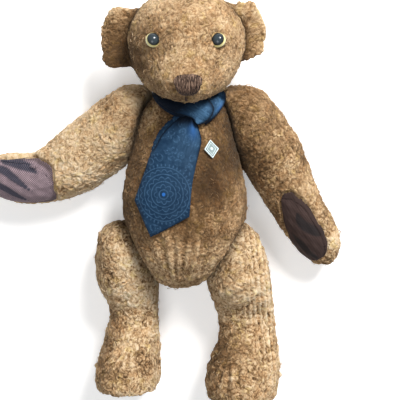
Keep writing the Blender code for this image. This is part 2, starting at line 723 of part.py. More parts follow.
def make_tie():
    """The necktie: a band round the neck, a knot and a blade on the chest, as one folded piece.

    The band ends inside both shoulders' joint planes, so that the arms turn clear of it.
    """
    centre, axis, _ = JOINTS["neck"]
    silk = swell(loft(SECTIONS["torso"], FINE_SIDES), TIE_REST + SILK)
    under = swell(loft(SECTIONS["torso"], FINE_SIDES), TIE_REST)
    below_neck = centre - axis.normalized() * BAND_BELOW_NECK
    side_view = facing(Vector(), ACROSS, turn=ALONG)
    top_edge = [(below_neck.y + (below_neck.z - z) * axis.z / axis.y, z) for _, z in BAND_LOWER_EDGE]
    band_block = prism(side_view, BAND_LOWER_EDGE + tuple(reversed(top_edge)), -FAR, FAR)
    blade_block = prism(Matrix(), BLADE_OUTLINE, BLADE_LOW, FAR)
    folded = combine(combine(band_block, blade_block, "UNION"), silk, "INTERSECT")
    for shoulder in ("shoulder_left", "shoulder_right"):
        land, outward, _ = JOINTS[shoulder]
        trim(folded, land - outward.normalized() * GAP, outward)
    knot = bmesh.new()
    bmesh.ops.create_uvsphere(
        knot, u_segments=KNOT_DETAIL[0], v_segments=KNOT_DETAIL[1], radius=1.0,
        matrix=Matrix.Translation(KNOT_CENTRE) @ Matrix.Diagonal(KNOT_RADII).to_4x4(),
    )
    trim(knot, below_neck, axis)
    return cut(combine(folded, knot, "UNION"), under)


def chest_at(x, y):
    """The height of the torso's front over a point, and the way out of the cloth there."""
    rows = np.array(TORSO)
    section = [np.interp(y, rows[:, 0], rows[:, column]) for column in range(1, 5)]
    near = [np.interp(y + MARGIN, rows[:, 0], rows[:, column]) for column in range(1, 5)]

    def top(values, across):
        centre, half_width, middle, half_depth = values
        return middle + half_depth * math.sqrt(1 - ((across - centre) / half_width) ** 2)

    height = top(section, x)
    slope_x = (top(section, x + MARGIN) - height) / MARGIN
    slope_y = (top(near, x) - height) / MARGIN
    return height, Vector((-slope_x, -slope_y, 1.0)).normalized()


def make_pin():
    """A diamond lapel pin lying on the chest, with a round post that goes in through the cloth."""
    x, y = PIN_PLACE
    height, outward = chest_at(x, y)
    place = facing(Vector((x, y, height)), outward, turn=ACROSS)
    outline = (
        (PIN_HALF_WIDTH, 0.0), (0.0, PIN_HALF_HEIGHT), (-PIN_HALF_WIDTH, 0.0), (0.0, -PIN_HALF_HEIGHT)
    )
    plate = prism(place, outline, PIN_LIFT, PIN_LIFT + PIN_THICK)
    post = cylinder(place, POST_RADIUS, -POST_LENGTH, PIN_LIFT + PIN_THICK / 2)
    return combine(plate, post, "UNION"), place


def add_torso(pivots, materials):
    """The torso: skin, stuffing, necktie and lapel pin."""
    pivot = pivots["torso"]
    pin, place = make_pin()
    skin = cut(make_skin("torso"), cylinder(place, POST_HOLE, -POST_LENGTH, HOLE_TOP))
    core = cut(make_core("torso"), cylinder(place, POST_HOLE, -POST_LENGTH - ROOM, HOLE_TOP))
    add_piece("torso_skin", skin, materials["boucle"], pivot)
    add_piece("torso_stuffing", core, materials["stuffing"], pivot)
    add_piece("necktie", make_tie(), materials["tie_silk"], pivot)
    add_piece("lapel_pin", pin, materials["pin_metal"], pivot, PIN_ANGLE)


def main():
    """Build the whole bear."""
    clear_scene()
    materials = {name: make_finish(name) for name in FINISHES}
    pivots = add_pivots()
    add_torso(pivots, materials)
    add_head(pivots, materials)
    for side in ("left", "right"):
        add_arm(side, pivots, materials)
        add_leg(side, pivots, materials)
    for name in JOINTS:
        add_joint_hardware(name, pivots, materials)


main()
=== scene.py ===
# %% [markdown]
# # A worn teddy bear in boucle cloth
# The bear lies on its back, as a disc-jointed bear does when nobody holds it. The solids already
# give each piece its size and its place, and the joints say what turns with what. This script
# gives each piece the surface that a hand would feel: nubbly cloth, woven pads, silk and glass.

# %% Load the solids
import json
import math

import bmesh
import bpy
import numpy as np
from mathutils import Matrix, Vector, kdtree
from mathutils.bvhtree import BVHTree

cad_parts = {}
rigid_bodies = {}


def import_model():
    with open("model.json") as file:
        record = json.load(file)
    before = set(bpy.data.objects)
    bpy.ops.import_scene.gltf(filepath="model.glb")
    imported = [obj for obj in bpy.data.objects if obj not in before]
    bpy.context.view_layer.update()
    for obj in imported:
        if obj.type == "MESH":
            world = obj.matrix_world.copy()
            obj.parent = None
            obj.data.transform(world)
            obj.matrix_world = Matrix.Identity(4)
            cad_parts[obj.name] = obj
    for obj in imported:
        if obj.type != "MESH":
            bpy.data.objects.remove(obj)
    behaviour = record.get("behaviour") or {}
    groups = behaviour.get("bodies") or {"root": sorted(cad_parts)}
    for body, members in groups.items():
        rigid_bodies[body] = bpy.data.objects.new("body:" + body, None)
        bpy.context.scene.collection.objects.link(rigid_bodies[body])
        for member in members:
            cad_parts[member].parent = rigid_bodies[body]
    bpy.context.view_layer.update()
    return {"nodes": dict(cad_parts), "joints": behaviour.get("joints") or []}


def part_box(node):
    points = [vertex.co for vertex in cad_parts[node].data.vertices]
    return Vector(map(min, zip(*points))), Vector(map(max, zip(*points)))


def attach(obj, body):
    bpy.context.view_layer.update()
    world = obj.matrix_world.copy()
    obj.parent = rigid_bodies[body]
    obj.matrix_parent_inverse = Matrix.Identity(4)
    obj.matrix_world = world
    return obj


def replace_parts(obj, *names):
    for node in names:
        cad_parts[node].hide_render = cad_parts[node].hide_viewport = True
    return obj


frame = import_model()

MM = 0.001
UP = Vector((0.0, 0.0, 1.0))
ALONG = Vector((0.0, 1.0, 0.0))
ACROSS = Vector((1.0, 0.0, 0.0))
JOINTS = {joint["name"]: joint for joint in frame["joints"]}
print("solids:", len(frame["nodes"]), "joints:", sorted(JOINTS))

# %% [markdown]
# ## Camera, light and floor
# A soft toy looks flat under even light, so one large soft lamp stands beyond the bear's head, where
# a window would be, and a weaker one fills the shadows from the front. The floor is plain and pale.
# It reads as white to the camera, but it still takes the bear's shadow.

# %% Camera above the bear
CAMERA_AIM = Vector((38.4, 4.95, 50.0)) * MM
CAMERA_DISTANCE = 800 * MM
CAMERA_TILT = math.radians(8.0)
CAMERA_LENS = 72.0


def add_object(name, data):
    """A new object in the scene, at the origin and unturned."""
    thing = bpy.data.objects.new(name, data)
    bpy.context.scene.collection.objects.link(thing)
    return thing


camera = add_object("camera", bpy.data.cameras.new("camera"))
camera.data.lens = CAMERA_LENS
camera.data.clip_start = 10 * MM
away = Vector((0.0, math.sin(CAMERA_TILT), math.cos(CAMERA_TILT)))
camera.location = CAMERA_AIM + away * CAMERA_DISTANCE
camera.rotation_euler = (-CAMERA_TILT, 0.0, 0.0)
bpy.context.scene.camera = camera
bpy.context.scene.view_settings.view_transform = "Standard"
print("camera height:", round(camera.location.z, 3))

# %% Lamps
LAMP_AIM = Vector((0.0, 0.0, 0.05))
# Each lamp's place and width in metres, its power in watts and its colour
LAMPS = {
    "window_lamp": ((0.85, 1.45, 1.5), 0.7, 69.0, (1.0, 0.97, 0.94)),
    "front_lamp": ((-0.2, -0.3, 1.3), 0.6, 5.0, (0.96, 0.98, 1.0)),
}
for name, (place, size, power, colour) in LAMPS.items():
    lamp = add_object(name, bpy.data.lights.new(name, "AREA"))
    lamp.data.energy = power
    lamp.data.size = size
    lamp.data.color = colour
    lamp.location = place
    lamp.rotation_mode = "QUATERNION"
    lamp.rotation_quaternion = (Vector(place) - LAMP_AIM).to_track_quat("Z", "Y")
    print(f"{name}: {power} W")


# %% Node helpers
class Wire:
    """A value or colour on its way through a node tree; arithmetic with it adds maths nodes."""

    def __init__(self, socket):
        self.socket = socket

    def __add__(self, other):
        return maths("ADD", self, other)

    def __sub__(self, other):
        return maths("SUBTRACT", self, other)

    def __mul__(self, other):
        return maths("MULTIPLY", self, other)


def add_node(tree, kind, inputs=None, **settings):
    """A node with some settings, and some inputs set to values or linked to wires."""
    node = tree.nodes.new(kind)
    for key, value in settings.items():
        setattr(node, key, value)
    for key, value in (inputs or {}).items():
        if isinstance(value, Wire):
            tree.links.new(value.socket, node.inputs[key])
        else:
            node.inputs[key].default_value = value
    return node


def maths(operation, *values, clamp=False):
    """One maths step, in the tree that its first value's wire runs through."""
    inputs = dict(enumerate(values))
    tree = values[0].socket.id_data
    return Wire(add_node(tree, "ShaderNodeMath", inputs, operation=operation, use_clamp=clamp).outputs[0])


def seen_directly(tree):
    """1 for what the camera sees itself, in a reflection or through glass, and 0 for the rest."""
    ray = add_node(tree, "ShaderNodeLightPath").outputs
    seen = maths("MAXIMUM", Wire(ray["Is Camera Ray"]), Wire(ray["Is Glossy Ray"]))
    return maths("MAXIMUM", seen, Wire(ray["Is Transmission Ray"]))


# %% World
WORLD_LIGHT = 0.22
WHITE = (1.0, 1.0, 1.0, 1.0)
world = bpy.data.worlds.new("studio")
bpy.context.scene.world = world
world.use_nodes = True
background = world.node_tree.nodes["Background"]
background.inputs["Color"].default_value = WHITE
strength = {"Value": seen_directly(world.node_tree), "To Min": WORLD_LIGHT, "To Max": 1.0}
strength = add_node(world.node_tree, "ShaderNodeMapRange", strength)
world.node_tree.links.new(strength.outputs["Result"], background.inputs["Strength"])
print("world light:", WORLD_LIGHT)


# %% Finishes
def new_finish(name, settings):
    """A node material with some of its shader's own sockets set, and its node tree."""
    material = bpy.data.materials.new(name)
    material.use_nodes = True
    shader = material.node_tree.nodes["Principled BSDF"]
    for socket, value in settings.items():
        shader.inputs[socket].default_value = value
    return material, material.node_tree


def wire_shader(material, socket, wire):
    """Link a wire to a socket of a material's shader."""
    tree = material.node_tree
    tree.links.new(wire.socket, tree.nodes["Principled BSDF"].inputs[socket])


# %% Floor
FLOOR_HALF = 3.0
FLOOR_COLOUR = (0.93, 0.93, 0.93, 1.0)
FLOOR_LIFT = 0.36
FLOOR_GAP = 0.2 * MM


def new_mesh(name, bm):
    """A mesh made from a bmesh, which is freed."""
    mesh = bpy.data.meshes.new(name)
    bm.to_mesh(mesh)
    bm.free()
    return mesh


floor_form = bmesh.new()
under_bear = Matrix.Translation((0.0, 0.0, -FLOOR_GAP))
bmesh.ops.create_grid(floor_form, x_segments=1, y_segments=1, size=FLOOR_HALF, matrix=under_bear)
floor = add_object("floor", new_mesh("floor", floor_form))
floor_settings = {"Base Color": FLOOR_COLOUR, "Roughness": 0.9, "Emission Color": WHITE}
floor_finish, floor_tree = new_finish("pale_floor", floor_settings)
wire_shader(floor_finish, "Emission Strength", seen_directly(floor_tree) * FLOOR_LIFT)
floor.data.materials.append(floor_finish)
print("floor:", 2 * FLOOR_HALF, "m wide")

# %% [markdown]
# ## Making and keeping a mesh
# Each soft piece starts as a copy of its solid. The copy's loose triangles are merged, a voxel remesh
# turns them into even quads, and smoothing takes the facets away. The finer mesh is then pushed in
# and out point by point, as cloth stands up in nubs and sinks between them.

# %% Keep a finished mesh
def keep_mesh(name, mesh, body, material, smooth=True):
    """Link a mesh as a finished piece that rides on a body, with its place in its mesh."""
    mesh.materials.clear()
    mesh.materials.append(material)
    if smooth:
        mesh.shade_smooth()
    piece = add_object(name, mesh)
    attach(piece, body)
    print(f"{name}: {sum(len(face.vertices) - 2 for face in mesh.polygons)} triangles")
    return piece


# %% Copies of the solids
MERGE_DISTANCE = 0.001 * MM


def solid(name):
    """A solid's own mesh."""
    return frame["nodes"][name].data


def together(meshes):
    """One bmesh of several meshes."""
    bm = bmesh.new()
    for mesh in meshes:
        bm.from_mesh(mesh)
    return bm


def solid_copy(names):
    """One bmesh of several solids, with their loose triangles merged."""
    bm = together(solid(name) for name in names)
    bmesh.ops.remove_doubles(bm, verts=bm.verts, dist=MERGE_DISTANCE)
    return bm


def with_modifier(bm, kind, **values):
    """The mesh that a bmesh becomes under one modifier."""
    mesh = new_mesh("work", bm)
    work = add_object("work", mesh)
    modifier = work.modifiers.new(kind, kind)
    for key, value in values.items():
        setattr(modifier, key, value)
    made = bpy.data.meshes.new_from_object(work.evaluated_get(bpy.context.evaluated_depsgraph_get()))
    bpy.data.objects.remove(work, do_unlink=True)
    bpy.data.meshes.remove(mesh)
    return made


# %% A mesh's points as arrays
def points_of(mesh):
    """A mesh's points and their normals, as two arrays in metres."""
    found = []
    for key in ("co", "normal"):
        values = np.empty(len(mesh.vertices) * 3, np.float32)
        mesh.vertices.foreach_get(key, values)
        found.append(values.reshape(-1, 3).astype(float))
    return found


def store(mesh, name, kind, field, values):
    """Store one value for each point of a mesh."""
    attribute = mesh.attributes.new(name, kind, "POINT")
    attribute.data.foreach_set(field, values.astype(np.float32).ravel())


def unit(vectors):
    """Rows scaled to length 1."""
    return vectors / np.maximum(np.linalg.norm(vectors, axis=-1, keepdims=True), 1e-12)


def smooth_step(value):
    """0 below 0, 1 above 1, and smooth between."""
    value = np.clip(value, 0, 1)
    return value * value * (3 - 2 * value)


# %% Places taken from the solids
BODIES = ("torso", "head", "arm_left", "arm_right", "leg_left", "leg_right")
ABOVE_ALL = 1.0


def tree_over(meshes):
    """A search tree over the surface of some meshes."""
    bm = together(meshes)
    tree = BVHTree.FromBMesh(bm)
    bm.free()
    return tree


def above(tree, x, y, default):
    """The height of a form's top over a point, or the default where it isn't under it."""
    hit = tree.ray_cast(Vector((x, y, ABOVE_ALL)), -UP)[0]
    return hit.z if hit else default


def flat_frame(name):
    """A flat solid's middle and its long, short and thin directions."""
    points = np.array([vertex.co for vertex in solid(name).vertices])
    middle = (points.min(0) + points.max(0)) / 2
    _, _, ways = np.linalg.svd(points - points.mean(0), full_matrices=False)
    return Vector(middle), Vector(ways[0]), Vector(ways[1]), Vector(ways[2])


def share_of(box, *shares):
    """The x, y and z at some shares of a box's width, length and height."""
    low, high = box
    return [low[axis] + (high[axis] - low[axis]) * share for axis, share in enumerate(shares)]


def spot(body, across, along):
    """The point on top of a body's form at a share of its width and of its length."""
    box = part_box(f"{body}_skin")
    x, y = share_of(box, across, along)
    return Vector((x, y, above(FORMS[body], x, y, box[1].z)))


FORMS = {body: tree_over([solid(f"{body}_skin")]) for body in BODIES}
for ear in ("ear_left", "ear_right"):
    FORMS[ear] = tree_over([solid(ear)])
print("forms:", sorted(FORMS))

# %% [markdown]
# ## The bags of cloth
# Each of the bear's big pieces is a bag: the skin, any pad sewn into it, and the filling behind.
# Joined, they give one closed outer surface once a plug covers the bolt's hole in the flat land.

# %% Even surface over a bag
BAG_CELL = 4.0 * MM
PLUG_RADIUS = 6 * MM
PLUG_DEPTH = 2.2 * MM
PLUG_SINK = 1.3 * MM
PLUG_SIDES = 16


def even_mesh(bm, cell, rounds, levels):
    """An even, smooth and closed mesh over the outside of a bmesh."""
    even = with_modifier(bm, "REMESH", mode="VOXEL", voxel_size=cell)
    bm = together([even])
    bpy.data.meshes.remove(even)
    for _ in range(rounds):
        bmesh.ops.smooth_vert(
            bm, verts=bm.verts, factor=0.5, use_axis_x=True, use_axis_y=True, use_axis_z=True
        )
    return with_modifier(bm, "SUBSURF", levels=levels, render_levels=levels)


def bag_mesh(nodes, signs):
    """The mesh of a bag; signs tells which way along each of its joints leads into it."""
    bm = solid_copy(nodes)
    for joint, sign in signs.items():
        axis = Vector(JOINTS[joint]["axis"]).normalized() * sign
        place = Vector(JOINTS[joint]["pos_m"]) + axis * PLUG_SINK
        turn = axis.to_track_quat("Z", "Y").to_matrix().to_4x4()
        bmesh.ops.create_cone(
            bm, cap_ends=True, segments=PLUG_SIDES, radius1=PLUG_RADIUS, radius2=PLUG_RADIUS,
            depth=PLUG_DEPTH, matrix=Matrix.Translation(place) @ turn,
        )
    return even_mesh(bm, BAG_CELL, rounds=5, levels=2)


# %% [markdown]
# ## Nubs of boucle
# Boucle yarn is all small loops. Felted by years of handling, they lie as nubs about 5 mm long and
# 3 mm wide, with dark pits between them. Scattered seeds are the nubs' middles. Each point of the
# mesh finds its nearest seeds, measured longer along the nub than across it, and stands high near
# the middle of a nub and low where two nubs meet. A second attribute holds the point's place along
# and across its nub, so that the colour runs in strands along each nub, as spun fibres do.

# %% Seeds
SEED_PRUNE = 0.6
CELL_KEYS = np.array((73856093, 19349663, 83492791))


def search_tree(points):
    """A search tree over some points."""
    tree = kdtree.KDTree(len(points))
    for index, point in enumerate(points):
        tree.insert(point, index)
    tree.balance()
    return tree


def scatter(points, spacing, random):
    """Indices of points about one spacing apart, chosen at random."""
    cells = np.floor(points / spacing + random.random(3)).astype(np.int64)
    keys = np.bitwise_xor.reduce(cells * CELL_KEYS, axis=1)
    order = random.permutation(len(points))
    _, first = np.unique(keys[order], return_index=True)
    chosen = order[first]
    tree = search_tree(points[chosen])
    dropped = np.zeros(len(chosen), bool)
    for index, point in enumerate(points[chosen]):
        if not dropped[index]:
            close = [hit[1] for hit in tree.find_range(point, spacing * SEED_PRUNE)]
            dropped[[other for other in close if other != index]] = True
    return chosen[~dropped]


def slow_waves(points, lengths, random):
    """A smooth, slowly changing field between about -1 and 1, from waves some millimetres long."""
    total = np.zeros(len(points))
    for length in lengths:
        way = unit(random.normal(size=3))
        turns = points @ way * (2 * math.pi / (length * MM))
        total += np.sin(turns + random.random() * 2 * math.pi)
    return total / math.sqrt(len(lengths))


# %% Nubs
NUB_SPACING = 3.5 * MM
NUB_LENGTH = 1.7
NUB_WIDTH = 1 / 1.15
NUB_SPREAD = 0.3
NEAR_SEEDS = 6
WARP_WAVES = (5, 6.5, 8)
WARP = 0.5 * MM
# How wide the pit between two nubs is, the least that it is sunk, and how much a nub falls off
PIT_SHARE = 0.36
PIT_LEAST = 0.15
NUB_FALL = 0.4


def turned(ways, normals, angle):
    """Directions in the surface, turned about the normals."""
    ways = unit(ways - normals * np.sum(ways * normals, 1, keepdims=True))
    across = np.cross(normals, ways)
    return ways * np.cos(angle)[:, None] + across * np.sin(angle)[:, None]


def nubs(points, seed_points, seed_normals, ways, spacing, random):
    """For each point: its height on its nub, its place along and across it, and that nub's number."""
    across = np.cross(seed_normals, ways)
    size = 1.0 + NUB_SPREAD * random.normal(size=len(seed_points)).clip(-1.6, 1.6)
    merging = random.random(len(seed_points))
    for axis in np.eye(3):
        points = points + WARP * axis * slow_waves(points, WARP_WAVES, random)[:, None]
    tree = search_tree(seed_points)
    near = np.array([[hit[1] for hit in tree.find_n(point, NEAR_SEEDS)] for point in points])
    offset = points[:, None, :] - seed_points[near]
    long_way, wide_way, deep_way = (np.sum(offset * way[near], 2) for way in (ways, across, seed_normals))
    far = np.sqrt((long_way / NUB_LENGTH) ** 2 + (wide_way / NUB_WIDTH) ** 2 + deep_way ** 2)
    far = far / (spacing * size[near])
    order = np.argsort(far, axis=1)
    rows = np.arange(len(points))
    closest, next_one = order[:, 0], order[:, 1]
    first, second = far[rows, closest], far[rows, next_one]
    owner, other = near[rows, closest], near[rows, next_one]
    sunk = PIT_LEAST + (1 - PIT_LEAST) * ((merging[owner] + merging[other]) % 1.0)
    edge = np.clip((second - first) / PIT_SHARE, 0, 1)
    height = (1.0 - sunk * (1.0 - np.sqrt(edge))) * (1.0 - NUB_FALL * np.clip(first * 1.2, 0, 1) ** 2)
    return height, long_way[rows, closest], wide_way[rows, closest], owner


# %% [markdown]
# ## Colour of the cloth
# The yarn is spun from several dyed wools, so no two nubs have the same brown: straw, gold, tan,
# rust and a little grey. The pits between them are painted dark as shade, and the folds where two of
# the bear's pieces meet are painted dark for their dirt and their shade. Light and shade are painted
# into the colour as well: the limbs and the head are paler, and the chest is painted darker, in the
# shade of the tie and the chin.

# %% What a material reads
def attribute(tree, name, output="Fac"):
    """A value, colour or vector that the mesh stores under a name."""
    return Wire(add_node(tree, "ShaderNodeAttribute", attribute_name=name).outputs[output])


def object_place(tree):
    """Where a point lies on the object."""
    return Wire(add_node(tree, "ShaderNodeTexCoord").outputs["Object"])


def split(wire):
    """The three parts of a vector or colour."""
    node = add_node(wire.socket.id_data, "ShaderNodeSeparateXYZ", {"Vector": wire})
    return [Wire(output) for output in node.outputs]


def stretched(place, scale):
    """A place scaled along each axis, so that a pattern on it is drawn out."""
    node = add_node(place.socket.id_data, "ShaderNodeMapping", {"Vector": place, "Scale": scale})
    return Wire(node.outputs["Vector"])


# %% Colour helpers
def clamped(wire):
    """A value kept between 0 and 1."""
    return maths("ADD", wire, 0.0, clamp=True)


def ramp(value, stops):
    """A colour ramp, as pairs of position and colour."""
    node = add_node(value.socket.id_data, "ShaderNodeValToRGB", {"Fac": value})
    elements = node.color_ramp.elements
    while len(elements) < len(stops):
        elements.new(0.5)
    for element, (position, colour) in zip(elements, stops):
        element.position = position
        element.color = (*colour, 1.0)
    return Wire(node.outputs["Color"])


def grade(value, low, high, kind="LINEAR"):
    """A value from 0 at low to 1 at high."""
    inputs = {"Value": value, "From Min": low, "From Max": high}
    node = add_node(value.socket.id_data, "ShaderNodeMapRange", inputs, interpolation_type=kind)
    return Wire(node.outputs["Result"])


def mixed(share, a, b, kind="MIX"):
    """Two colours blended in one of Blender's ways; a colour mix's sockets are 0, 6 and 7."""
    tree = next(value.socket.id_data for value in (share, a, b) if isinstance(value, Wire))
    node = add_node(tree, "ShaderNodeMix", {0: share, 6: a, 7: b}, data_type="RGBA", blend_type=kind)
    return Wire(node.outputs[2])


# %% Noise and bump
def noise(place, size, detail=2.0, roughness=0.5, swirl=0.0):
    """Noise whose patches are about one size across."""
    inputs = {
        "Vector": place, "Scale": 1.0 / size, "Detail": detail, "Roughness": roughness, "Distortion": swirl,
    }
    return Wire(add_node(place.socket.id_data, "ShaderNodeTexNoise", inputs).outputs["Fac"])


def finished(material, colour, height, strength, distance):
    """Give a material its colour, and a surface raised by a height."""
    wire_shader(material, "Base Color", colour)
    inputs = {"Height": height, "Strength": strength, "Distance": distance}
    bump = add_node(material.node_tree, "ShaderNodeBump", inputs)
    wire_shader(material, "Normal", Wire(bump.outputs["Normal"]))
    print(f"{material.name}: {len(material.node_tree.nodes)} nodes")
    return material


# %% Boucle material
WOOL_TONES = (
    (0.00, (0.030, 0.016, 0.008)),
    (0.22, (0.150, 0.082, 0.035)),
    (0.42, (0.378, 0.236, 0.119)),
    (0.60, (0.600, 0.418, 0.240)),
    (0.80, (0.730, 0.555, 0.355)),
    (1.00, (0.815, 0.665, 0.470)),
)
WOOL_HUES = (
    (0.34, (1.00, 0.93, 0.85)),
    (0.45, (1.00, 1.00, 1.00)),
    (0.54, (1.00, 1.03, 1.07)),
    (0.66, (1.00, 1.01, 0.84)),
)
PIT_SHADE_COLOUR = (0.040, 0.023, 0.012, 1.0)
FOLD_DIRT_AND_SHADE_COLOUR = (0.018, 0.010, 0.006, 1.0)
SHADED_TONE = 0.31
TONE_SHIFT = -1.40
BOUCLE_SHADER = {
    "Roughness": 0.95, "Specular IOR Level": 0.1, "Sheen Weight": 0.12, "Sheen Roughness": 0.5,
    "Sheen Tint": (1.0, 0.88, 0.7, 1.0),
}


def make_boucle():
    """Nubbly cloth of mixed brown wools, with painted light and shade in its colour."""
    material, tree = new_finish("boucle_cloth", BOUCLE_SHADER)
    tint, height, light_and_tone = split(attribute(tree, "wool", "Color"))
    contrast = attribute(tree, "wool", "Alpha")
    place = object_place(tree)
    strands = noise(attribute(tree, "strand", "Vector"), 1.0, 2.0, 0.6)
    curls = noise(place, 4.4 * MM, 2.0, 0.5, swirl=1.6)
    fibres = noise(place, 0.8 * MM, 3.0, 0.65)
    patches = noise(place, 10 * MM, 3.0, 0.6)
    broad = noise(place, 30 * MM, 3.0, 0.6)
    tone = curls * 1.2 + strands * 0.8 + fibres * 0.25 + height * 0.38 + tint * 0.06 + TONE_SHIFT
    tone = tone * contrast + broad + 0.065
    # Painted light and shade: the stored light and tone makes the wool paler or darker.
    yarn = ramp(clamped(tone * (light_and_tone * (1 - SHADED_TONE) + SHADED_TONE)), WOOL_TONES)
    yarn = mixed(1.0, yarn, ramp(patches + tint * 0.05 - 0.025, WOOL_HUES), "MULTIPLY")
    # Painted shade: the pits between the nubs are darkened.
    sunk = grade(height + strands * 0.6 - 0.3, 0.5, 0.0, "SMOOTHSTEP")
    colour = mixed(sunk * 0.6, yarn, PIT_SHADE_COLOUR)
    # Dirt and painted shade, darkest where two bodies lie close together.
    colour = mixed(attribute(tree, "dirt_and_shade"), colour, FOLD_DIRT_AND_SHADE_COLOUR)
    return finished(material, colour, curls * 1.6 + strands * 0.6 + fibres, 0.9, 0.9 * MM)


boucle = make_boucle()

# %% Dirt and painted shade near other bodies
FOLD_REACH = 18 * MM
DIRT_AND_SHADE_MOST = 0.68
DIRT_AND_SHADE_POWER = 1.7


def nearness(points, tree, reach):
    """How near each point is to a surface: 1 on it, and 0 past the reach."""
    near = np.zeros(len(points))
    for index, point in enumerate(points):
        hit = tree.find_nearest(point, reach)
        if hit[0] is not None:
            near[index] = 1 - hit[3] / reach
    return near


def dirt_and_shade_of(points, own):
    """How dirty and shaded each point is, 0 to 1: dirt gathers, and shade is painted, where a body lies
    close to another.
    """
    dirt_and_shade = np.zeros(len(points))
    for name, tree in FORMS.items():
        if name == own or (name.startswith("ear") and own.startswith("ear")):
            continue
        if {name.split("_")[0], own.split("_")[0]} & {"torso", "head"}:
            dirt_and_shade = np.maximum(dirt_and_shade, nearness(points, tree, FOLD_REACH))
    return DIRT_AND_SHADE_MOST * smooth_step(dirt_and_shade ** DIRT_AND_SHADE_POWER)


# %% Dress a bag in nubs
STRAND_LENGTH = 7.0 * MM
STRAND_WIDTH = 1.5 * MM
STRAND_STEP = 3.7
FOLD_DEPTH = 2.0 * MM
FOLD_SHADE = 0.45
NUB_STAND = 1.6 * MM
WAY_WAVES = (23, 34, 55)
WAY_SWIRL = 0.9
WAY_JITTER = 0.45
LUMP_WAVES = (13, 17, 23, 31, 44)
TONE_MIX = 0.14
TONE_DRIFT = 0.1
WOOL_RANGE = (-0.3, 1.5)


def dress(mesh, own, way, seed, light_and_tone, coarse, contrast, lumps, bare=0.0, folds=0.0):
    """Raise nubs on a mesh and write its attributes; way is the cloth's knitting direction.

    coarse is the nubs' size, contrast how much their tones differ, bare tells for each point how
    much of the nubs it lacks, from 0 to 1, and folds is how far the body's folds raise it.
    """
    random = np.random.default_rng(seed)
    points, normals = points_of(mesh)
    spacing = NUB_SPACING * coarse
    seeds = scatter(points, spacing, random)
    ways = np.tile(np.array(way, float), (len(seeds), 1))
    angle = WAY_SWIRL * slow_waves(points[seeds], WAY_WAVES, random)
    angle += WAY_JITTER * random.normal(size=len(seeds))
    ways = turned(ways, normals[seeds], angle)
    height, long_way, wide_way, owner = nubs(points, points[seeds], normals[seeds], ways, spacing, random)
    tint = random.random(len(seeds))[owner]
    lift = (0.65 + 0.7 * random.random(len(seeds)))[owner]
    slow = slow_waves(points, LUMP_WAVES, random) * (1 - bare)
    rise = NUB_STAND * coarse * (height * lift - 0.5) * (1 - bare) + lumps * 0.5 * slow + folds
    height = height + np.clip(folds / FOLD_DEPTH, -1, 1) * FOLD_SHADE
    blend = TONE_MIX * (random.random(len(seeds))[owner] - 0.5)
    light_and_tone = light_and_tone + TONE_DRIFT * slow + blend
    wool = np.stack([tint, height, light_and_tone, np.full(len(points), contrast)], 1)
    strand = np.stack([wide_way / STRAND_WIDTH, long_way / STRAND_LENGTH, owner * STRAND_STEP], 1)
    store(mesh, "wool", "FLOAT_COLOR", "color", wool.clip(*WOOL_RANGE))
    store(mesh, "strand", "FLOAT_VECTOR", "vector", strand)
    store(mesh, "dirt_and_shade", "FLOAT", "value", dirt_and_shade_of(points, own))
    return points, normals, rise


# %% Place a bag's points
JOINT_CLEARANCE = 0.15 * MM


def place_points(mesh, points, signs):
    """Store a bag's points, kept on their own side of each joint's plane and above the floor."""
    for joint, sign in signs.items():
        axis = np.array(Vector(JOINTS[joint]["axis"]).normalized() * sign)
        behind = JOINT_CLEARANCE - (points - np.array(JOINTS[joint]["pos_m"])) @ axis
        points = points + np.clip(behind, 0, None)[:, None] * axis
    points[:, 2] = np.maximum(points[:, 2], 0.0)
    mesh.vertices.foreach_set("co", points.astype(np.float32).ravel())
    mesh.update()


# %% [markdown]
# ## Paw pads and soles
# The pads are smooth woven twill, sewn in flat and pulled a little below the nubs round them. Worn
# claw strokes are painted on each paw, three on the right and two on the left. Twill shows fine
# slanting ribs, so each pad carries its own flat coordinates, along and across it. The soles are the
# same cloth, tucked under the foot's edge. The pads come before the bags, so that each bag can sink
# where a pad covers it.

# %% Twill material
TWILL_PITCH = 1.9
TWILL_LIGHT = (0.410, 0.310, 0.340, 1.0)
TWILL_DARK = (0.066, 0.048, 0.062, 1.0)
CLAW_PAINT = (0.016, 0.023, 0.040, 1.0)
DARK_CLAW_PAINT = (0.016, 0.014, 0.015, 1.0)
RIM_SHADE = (0.035, 0.022, 0.020, 1.0)
DARK_TWILL_SHADE = (0.29, 0.245, 0.19, 1.0)
TWILL_SHADER = {
    "Roughness": 0.85, "Specular IOR Level": 0.15, "Sheen Weight": 0.08, "Sheen Roughness": 0.4,
}


def wave(value, pitch):
    """A sine wave along a value, one pitch long."""
    return maths("SINE", value * (2 * math.pi / pitch))


def make_twill(name, shade, depth, paint):
    """Woven cloth with slanting ribs of some depth, its painted strokes and its worn patches."""
    material, tree = new_finish(name, TWILL_SHADER)
    flat = attribute(tree, "flat", "Vector")
    strokes, rim, _ = split(attribute(tree, "marks", "Color"))
    u, v, _ = split(flat)
    ribs = wave(u + v, TWILL_PITCH) * 0.5 + 0.5
    dots = wave(u - v, TWILL_PITCH) * 0.5 + 0.5
    weave = ribs * (dots * 0.5 + 0.5)
    worn = noise(flat, 7.0, 3.0, 0.6)
    fuzz = noise(flat, 0.7, 2.0)
    tone = weave * depth + (0.15 - 0.375 * depth) + worn * (0.5 * depth) + fuzz * 0.3 - 0.15
    colour = mixed(clamped(tone), TWILL_DARK, TWILL_LIGHT)
    colour = mixed(1.0, colour, shade, "MULTIPLY")
    colour = mixed(clamped(strokes * (weave * -0.3 + 1.0)), colour, paint)
    colour = mixed(rim * 0.6, colour, RIM_SHADE)
    return finished(material, colour, worn * 0.6 + weave, 0.5, 0.35 * MM)


paw_twill = make_twill("paw_twill", WHITE, 1.3, CLAW_PAINT)
# A copy of the twill darkened by painted shade, for the left paw pad and for the soles.
dark_shaded_twill = make_twill("dark_shaded_twill", DARK_TWILL_SHADE, 0.5, DARK_CLAW_PAINT)

